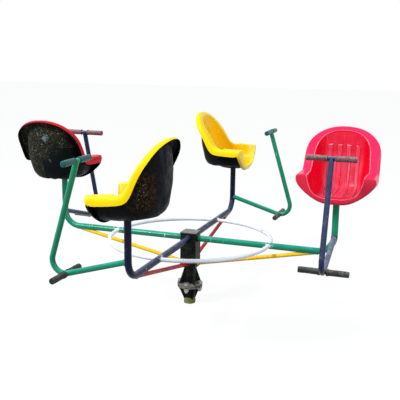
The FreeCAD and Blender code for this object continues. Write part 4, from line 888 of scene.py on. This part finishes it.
def slat_strips(top):
    """The raised slats as closed strips lying on the moulding's upper surface."""
    surface = surface_tree(top)
    eye = Vector((-45, 0, 150))
    section = [(-11.6, -1.0), (-10.9, 0.42), (-9.8, 0.82), (-8.2, 0.97), (-4, 1.0), (0, 1.02),
               (4, 1.0), (8.2, 0.97), (9.8, 0.82), (10.9, 0.42), (11.6, -1.0)]
    points, faces = [], []
    for place in RIB_PLACES:
        lines = []
        for angle in np.radians(np.linspace(-50, -214, 190)):
            aim = Vector((math.cos(angle), 0, math.sin(angle)))
            line = [surface.ray_cast(Vector((eye.x, place + across, eye.z)), aim)[0]
                    for across, _ in section]
            if None in line:
                continue
            middle = line[len(line) // 2]
            if middle.x <= RIB_FRONT and (middle.z <= RIB_TOP or middle.x > eye.x):
                lines.append(line)
        grid = np.array(lines)
        normals = unit(np.cross(np.gradient(grid, axis=0), np.gradient(grid, axis=1)))
        inward = np.array(eye) + np.array([0, place, 0]) - grid
        normals *= np.sign(np.sum(normals * inward, -1, keepdims=True))
        heights = np.array([lift * RIB_RISE if lift > 0 else -1.2 for _, lift in section])
        scale = np.ones((len(grid), 1))
        scale[[0, -1]] = 0
        rise = np.where(heights > 0, heights * scale - 1.2 * (1 - scale), heights)
        upper = grid + normals * rise[..., None]
        lower = grid[:, [-1, 0]] - normals[:, [-1, 0]] * 2.6
        strip = np.concatenate([upper, lower], 1)
        faces += grid_faces(*strip.shape[:2], first=len(points), capped=True)
        points += [tuple(p) for p in strip.reshape(-1, 3)]
    return np.array(points), faces


def add_places(mesh, points):
    """Store each point's place in the seat's own frame, for the materials."""
    layer = mesh.attributes.new("seat_place", "FLOAT_VECTOR", "POINT")
    layer.data.foreach_set("vector", points.ravel())


def seat_mesh(side):
    """One seat: its shell with a black underside, and the slats on it, as one piece."""
    top, under, zones = seat_grids(side)
    rows, columns = top.shape[:2]
    shift = rows * columns
    last = shift - columns
    slats, slat_faces = slat_strips(top)
    points = np.vstack([top.reshape(-1, 3), under.reshape(-1, 3), [PAD_MIDDLE],
                        [PAD_MIDDLE - (0, 0, SEAT["thick"])], slats])
    beside = [(i, (i + 1) % columns) for i in range(columns)]
    faces = grid_faces(rows, columns) + grid_faces(rows, columns, shift)
    faces += [(last + i, last + j, shift + last + j, shift + last + i) for i, j in beside]
    faces += [(2 * shift, i, j) for i, j in beside]
    faces += [(2 * shift + 1, shift + j, shift + i) for i, j in beside]
    faces += [tuple(index + 2 * shift + 2 for index in face) for face in slat_faces]
    x, z = top[..., 0].ravel(), top[..., 2].ravel()
    apron = ((x > 84) & (z < 78)) | ((x > 76) & (z < 74))
    brushed = side in ("front", "left")
    lip = apron & (np.arange(shift) // columns > rows - 12) & brushed
    black = np.concatenate([lip[:last], np.ones(last), ~apron[last:] | brushed,
                            np.zeros(columns), np.ones(columns), np.zeros(len(slat_faces))])
    world = apply_turn(points * MM, seat_placement(side))
    seat = add_mesh(f"seat_shell_{side}", world, faces, [SHELL[side], RESIN[side]],
                    choice=black.astype(np.int32))
    for name, values in zones.items():
        on_slat = np.full(len(slats), float(name in ("rib", "pan")))
        layer = seat.data.attributes.new(name, "FLOAT", "POINT")
        layer.data.foreach_set("value", np.concatenate(
            [values.ravel(), np.zeros(shift + 2), on_slat]))
    add_places(seat.data, points * MM)
    sharpen(seat, 50)
    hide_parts(f"seat_{side}")


def seat_placement(side):
    """From the seat's own frame to its place on the post."""
    post = Matrix.Translation((POST_REACH, 0, POST_TOP))
    edge = Matrix.Translation((0, -ARM_RADIUS, 0))
    angle = math.radians(FRONT_LEAN if side == "front" else 0)
    lean = edge @ Matrix.Rotation(angle, 4, "X") @ edge.inverted()
    forward = Matrix.Translation((0, 0, PLATE_THICK)) @ Matrix.Rotation(math.radians(-90), 4, "Z")
    return side_turn(side) @ post @ lean @ forward


for side in SIDES:
    seat_mesh(side)


def resin_pad(side):
    """The lump of resin that ties a seat's plate into the moulding's underside."""
    rings = [(90, 0.6), (83, -4), (75, -10), (67, -15), (52, -18), (36, -19), (24, -19.5),
             (17.2, -21)]
    columns = 72
    turn = np.linspace(0, 2 * math.pi, columns, endpoint=False)
    corner = 1 / np.maximum(np.abs(np.cos(turn)), np.abs(np.sin(turn))) ** 0.55
    points = []
    for reach, level in rings:
        share = min(1, max(0, (reach - 17.2) / 40))
        radius = reach * (1 + (corner - 1) * share)
        points.append(np.stack([radius * np.cos(turn), radius * np.sin(turn),
                                np.full(columns, float(level))], 1))
    points = np.vstack(points)
    ease = np.repeat([0.3, 1, 1, 1, 1, 1, 0.7, 0.2], columns)
    points[:, 2] += waves(points, 34, 21 + SIDES[side]) * 1.3 * ease
    points[:, 2] -= 2.0 * np.clip(waves(points, 60, 3), 0, 1) * ease
    if side == "left":
        points[:, 2] -= 7 * mound(points[:, 0], points[:, 1], (-20, 58), (26, 20)) * ease
    top = points[:columns].copy()
    top[:, 2] = 1.6
    points = np.vstack([top, points])
    faces = grid_faces(len(rings) + 1, columns, capped=True)
    pad = add_mesh(f"seat_resin_{side}", apply_turn(points * MM, seat_placement(side)), faces,
                   [RESIN[side]])
    add_places(pad.data, points * MM + 0.3)


for side in SIDES:
    resin_pad(side)


# ---------------------------------------------------------------- hand grips and foot sleeves

def round_spots(along, turn, radius):
    """Points on a round form where its noise is read."""
    return np.stack(np.broadcast_arrays(along, np.cos(turn) * radius, np.sin(turn) * radius),
                    -1).reshape(-1, 3)


def bar_cover(batch, side, height, reach, sign, profile, shape=None, around=48):
    """One rubber cover on a cross bar; along the bar is measured from its middle."""
    origin = np.array([POST_REACH, -reach, height])
    points, faces = turned(origin, (sign, 0, 0), profile, around, shape)
    batch.add(apply_turn(points, side_turn(side)), faces)


def ribbed_grip_profile():
    """Ribbed bicycle-type grip: a collar, rings and a thicker closed end, in metres."""
    profile = [(19.4, 10.8), (19.4, 15.2), (20.2, 16.2), (22.8, 16.2), (23.6, 15.2), (24.0, 13.4)]
    at = 26.0
    while at < 106:
        profile += [(at, 13.2), (at + 1.2, 14.3), (at + 3.6, 14.4), (at + 4.8, 13.2)]
        at += 6.9
    profile += [(109, 13.4), (110, 14.9), (115.6, 14.8), (117.6, 13.8), (118, 12), (118.2, 4)]
    return np.array(profile) * MM


def grip_scallops(along, turn):
    """Finger hollows pressed into the underside of a grip, away from the rider's palm."""
    wave = 0.5 - 0.5 * np.cos(2 * math.pi * (along / MM - 26) / 13.8)
    inside = smooth_step(along / MM, 25, 29) * (1 - smooth_step(along / MM, 103, 108))
    below = np.clip(np.cos(turn - math.radians(200)), 0, 1) ** 1.5
    return -1.9 * MM * wave * inside * below


def smooth_grip_profile():
    """Plain soft grip with a rounded end, a little fuller in its middle."""
    profile = [(19.4, 10.8), (19.4, 13.9), (20.4, 15.0), (23.5, 15.0), (24.5, 14.0)]
    for step in range(17):
        at = 27 + step * 5
        profile.append((at, 13.6 + 0.9 * math.sin(math.pi * (at - 27) / 84)))
    profile += [(110.5, 14.2), (113.5, 13.9), (116, 12.3), (117.5, 9.4), (118.1, 4)]
    return np.array(profile) * MM


def foot_sleeve_profile():
    """Thick rubber tube, cut off square, with a band next to the pipe and shallow wear rings."""
    profile = [(13.6, 10.1), (13.6, 16.2), (14.4, 17.2), (25.4, 17.2), (26.4, 16.0)]
    at = 28.6
    while at < 110:
        profile += [(at, 15.1), (at + 1.0, 15.4), (at + 5.2, 15.4), (at + 6.2, 14.6)]
        at += 7.4
    profile += [(118.6, 15.0), (119.8, 14.6), (120, 14.0), (120, 11.2), (117.5, 10.9), (117.2, 4)]
    return np.array(profile) * MM


def sleeve_wear(seed):
    """The unevenness of a worn rubber sleeve."""
    def wear(along, turn):
        noise = waves(round_spots(along, turn, 20 * MM), 30 * MM, seed)
        return 0.35 * MM * noise.reshape(len(along), -1)
    return wear


def make_rubbers():
    sleeves = Batch()
    for number, side in enumerate(SIDES):
        on_navy = side in NAVY_SIDES
        cover = (smooth_grip_profile(),) if on_navy else (ribbed_grip_profile(), grip_scallops, 60)
        grips = Batch()
        for sign in (-1, 1):
            bar_cover(grips, side, HAND_HEIGHT, HAND_REACH, sign, *cover)
            bar_cover(sleeves, side, FOOT_HEIGHT, FOOT_REACH, sign, foot_sleeve_profile(),
                      sleeve_wear(40 + number * 2 + sign))
        made = grips.build(f"hand_grips_{side}", teal_rubber if on_navy else ribbed_rubber)
        sharpen(made, 34)
        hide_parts(f"grips_{side}")
    made = sleeves.build("foot_rubbers", black_rubber)
    sharpen(made, 40)
    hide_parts("foot_sleeves")


make_rubbers()


# ---------------------------------------------------------------- welds

TURN = np.linspace(0, 2 * math.pi, 48, endpoint=False)


def hub_line(radius, level, slope=1.0):
    """Round a pipe that leaves the hub's side, drawn out upward by the pipe's slope."""
    return np.stack([np.full(48, HUB_HALF + 0.6 * MM), radius * np.cos(TURN),
                     level + radius * np.sin(TURN) * slope], 1)


def pipe_line(start, ahead, over, sideways, radius, facing, gap=0.0):
    """Round a narrow pipe where it meets an arm or post.

    Facing is the axis, 1 or 2, along which it meets the wide pipe, and gap how far off that
    pipe's middle lies along it.
    """
    side, lift = radius * np.cos(TURN), radius * np.sin(TURN)
    depth = gap - np.sqrt((ARM_RADIUS + 0.3 * MM) ** 2 - side ** 2)
    reach = (depth - lift * over[facing]) / ahead[facing]
    return start + ahead * reach[:, None] + over * lift[:, None] + np.outer(side, sideways)


def arm_ring_line(sign):
    """Where a ring's pipe meets the side of an arm."""
    radius = RING_RADIUS + 0.4 * MM
    level = radius * np.sin(TURN)
    return np.stack([RING_REACH + radius * np.cos(TURN),
                     sign * np.sqrt((ARM_RADIUS + 0.3 * MM) ** 2 - level ** 2),
                     ARM_HEIGHT + level], 1)


def hand_tube_line():
    """Saddle where the top of the handle tube meets the hand bar."""
    down = unit(np.array([0, -(HANDLE_REACH - HAND_REACH),
                          ARM_HEIGHT - HANDLE_DROP - HAND_HEIGHT]))
    over = np.array([0, -down[2], down[1]])
    radius = HANDLE_RADIUS + 0.2 * MM
    lift = np.clip(radius * np.sin(TURN), -HAND_BAR_RADIUS, HAND_BAR_RADIUS)
    reach = np.sqrt(np.maximum((HAND_BAR_RADIUS + 0.3 * MM) ** 2 - lift ** 2, 0))
    line = down * reach[:, None] + over * (lift * 1.06)[:, None]
    return line + np.stack([POST_REACH + radius * np.cos(TURN), np.full(48, -HAND_REACH),
                            np.full(48, HAND_HEIGHT)], 1)


def make_welds():
    brace = unit(np.array([BRACE_REACH, 0, BRACE_DROP]))
    brace_over = np.array([-brace[2], 0, brace[0]])
    brace_start = np.array([0, 0, ARM_HEIGHT - BRACE_DROP])
    brace_level = ARM_HEIGHT - BRACE_DROP + BRACE_DROP * HUB_HALF / BRACE_REACH
    tube = unit(np.array([0, -HANDLE_REACH, -(HANDLE_START + HANDLE_DROP)]))
    tube_over = np.array([0, -tube[2], tube[1]])
    tube_start = np.array([POST_REACH, 0, ARM_HEIGHT + HANDLE_START])
    joints = {
        "hub_arm": (hub_line(ARM_RADIUS + 0.8 * MM, ARM_HEIGHT), 3.4, ("black", "black")),
        "hub_brace": (hub_line(BRACE_RADIUS + 0.5 * MM, brace_level, 1 / brace[0]), 2.8,
                      ("red", "yellow")),
        "arm_brace": (pipe_line(brace_start, brace, brace_over, (0, 1, 0),
                                BRACE_RADIUS + 0.4 * MM, 2, BRACE_DROP), 2.4, ("navy", "green")),
        "post_tube": (pipe_line(tube_start, tube, tube_over, (1, 0, 0),
                                HANDLE_RADIUS + 0.4 * MM, 1), 2.8, ("green", "navy")),
        "hand_tube": (hand_tube_line(), 2.4, ("green", "navy")),
        "arm_ring_ahead": (arm_ring_line(1), 2.5, ("white", "white")),
        "arm_ring_behind": (arm_ring_line(-1), 2.5, ("white", "white")),
    }
    for number, (joint, (line, size, colours)) in enumerate(joints.items()):
        for group, colour, sides in zip(("navy", "green"), colours, (NAVY_SIDES, GREEN_SIDES)):
            batch = Batch()
            for step, side in enumerate(sides):
                bead = weld(apply_turn(line, side_turn(side)), size * MM, 60 + number * 4 + step)
                batch.add(*bead)
            batch.build(f"weld_{joint}_{group}_arms", PAINTS[colour])


def make_gusset_welds(name, pipe, root, end, inward):
    """Beads along both sides of a flange's gussets, up the pipe and out along the flange."""
    side, toe, level = 4.6, 66, end + 0.5 * inward
    batch = Batch()
    for corner in range(4):
        turn = Matrix.Rotation(math.radians(45 + 90 * corner), 4, "Z")
        for sign in (-1, 1):
            upright = np.array([(pipe, sign * side, root), (pipe, sign * side, end)]) * MM
            flat = np.array([(pipe, sign * side, level), (toe, sign * side, level)]) * MM
            for place, line in enumerate((upright, flat)):
                bead = weld(apply_turn(line, turn), 2.2 * MM, corner * 8 + place + sign + 9,
                            closed=False)
                batch.add(*bead)
    batch.build(f"weld_{name}_gussets", pedestal_black, "pedestal")


def make_cap_weld():
    """The bead round the hub's top cap, following the housing's rounded corners."""
    corner = 8 * MM
    centre = (HUB_HALF + 0.2 * MM - corner) * math.sqrt(2)
    line = []
    for quarter in range(4):
        middle = math.radians(90 * quarter + 45)
        for step in range(7):
            angle = math.radians(90 * quarter + 15 * step)
            line.append((centre * math.cos(middle) + corner * math.cos(angle),
                         centre * math.sin(middle) + corner * math.sin(angle), HUB_TOP))
    points, faces = weld(line, 1.5 * MM, 5)
    add_mesh("weld_hub_cap", points, faces, [PAINTS["black"]])


make_welds()
make_gusset_welds("lower", pipe=30.15, root=25, end=97, inward=-1)
make_gusset_welds("upper", pipe=30.0, root=205, end=117, inward=1)
make_cap_weld()


def make_stub_crust():
    """Dried earth and moss caked round the foot of the stub."""
    levels = np.linspace(0.0, 33, 14)
    profile = [(level * MM, (31.2 + 1.6 * (1 - level / 33)) * MM) for level in levels]
    profile[-1] = (33 * MM, 29.8 * MM)

    def lumps(along, turn):
        spots = round_spots(along, turn, 32 * MM)
        noise = waves(spots, 14 * MM, 7) * 1.2 + waves(spots, 6 * MM, 8) * 0.5
        fade = 1 - smooth_step(along / MM, 22, 33)
        return noise.reshape(len(along), -1) * MM * fade

    points, faces = turned((0, 0, 0.2 * MM), (0, 0, 1), profile, 96, lumps)
    add_mesh("stub_crust", points, faces, [earth("earth_and_moss")], "pedestal")


make_stub_crust()


# ---------------------------------------------------------------- stage

def build_stage():
    bpy.ops.mesh.primitive_plane_add(size=60, location=(0, 0, 0))
    floor = bpy.context.object
    floor.name = "floor"
    s = Shader("floor_white", (0.22, 0.22, 0.21, 1))
    seen = s.seen()
    s.cover((1.0, 1.0, 1.0, 1), seen)
    s.finish(0.95, specular=0.0)
    glow = s.node("ShaderNodeEmission", {"Strength": 1.0})
    blend = s.node("ShaderNodeMixShader",
                   {0: s.both(seen, 0.9), 1: s.surface.outputs[0], 2: glow.outputs[0]})
    s.feed(s.tree.nodes["Material Output"].inputs["Surface"], blend.outputs[0])
    floor.data.materials.append(s.material)


def build_world():
    """A pale even sky that lights the object and looks pure white."""
    world = bpy.data.worlds.new("sky")
    world.use_nodes = True
    s = Nodes(world.node_tree)
    sky = s.tree.nodes["Background"]
    s.feed(sky.inputs["Color"], (0.92, 0.96, 1.0, 1))
    s.feed(sky.inputs["Strength"], 0.7)
    white = s.node("ShaderNodeBackground", {"Color": (1, 1, 1, 1), "Strength": 1.0})
    blend = s.node("ShaderNodeMixShader",
                   {0: s.seen(), 1: sky.outputs[0], 2: white.outputs[0]})
    s.feed(s.tree.nodes["World Output"].inputs["Surface"], blend.outputs[0])
    bpy.context.scene.world = world


def add_lamp(name, place, size, power, colour):
    """A round lamp that faces the middle of the object."""
    light = bpy.data.lights.new(name, "AREA")
    light.shape = "DISK"
    light.size = size
    light.energy = power
    light.color = colour
    lamp = bpy.data.objects.new(name, light)
    bpy.context.scene.collection.objects.link(lamp)
    lamp.location = place
    aim = Vector((0, 0, 0.5)) - lamp.location
    lamp.rotation_euler = aim.to_track_quat("-Z", "Y").to_euler()


def build_camera():
    """A standing adult's view, a little from the right of the front arm."""
    azimuth, elevation, roll = (math.radians(v) for v in (19.606, 11.897, 0.749))
    back = Vector((math.sin(azimuth) * math.cos(elevation),
                   -math.cos(azimuth) * math.cos(elevation), math.sin(elevation)))
    right = Vector((math.cos(azimuth), math.sin(azimuth), 0))
    up = back.cross(right)
    across = right * math.cos(roll) + up * math.sin(roll)
    above = up * math.cos(roll) - right * math.sin(roll)
    data = bpy.data.cameras.new("view")
    data.sensor_width = 36
    data.lens = 59.75
    camera = bpy.data.objects.new("view", data)
    bpy.context.scene.collection.objects.link(camera)
    camera.matrix_world = Matrix((
        (across.x, above.x, back.x, 1.2366), (across.y, above.y, back.y, -3.3224),
        (across.z, above.z, back.z, 1.3337), (0, 0, 0, 1)))
    bpy.context.scene.camera = camera


build_stage()
build_world()
add_lamp("key", (-3.4, -4.2, 5.2), 1.4, 390, (1.0, 0.99, 0.96))
add_lamp("side", (-4.6, -2.6, 1.3), 0.4, 24, (1.0, 1.0, 1.0))
add_lamp("fill", (4.5, -1.5, 3.4), 3.0, 105, (0.97, 0.98, 1.0))
build_camera()
bpy.context.scene.view_settings.view_transform = "Standard"
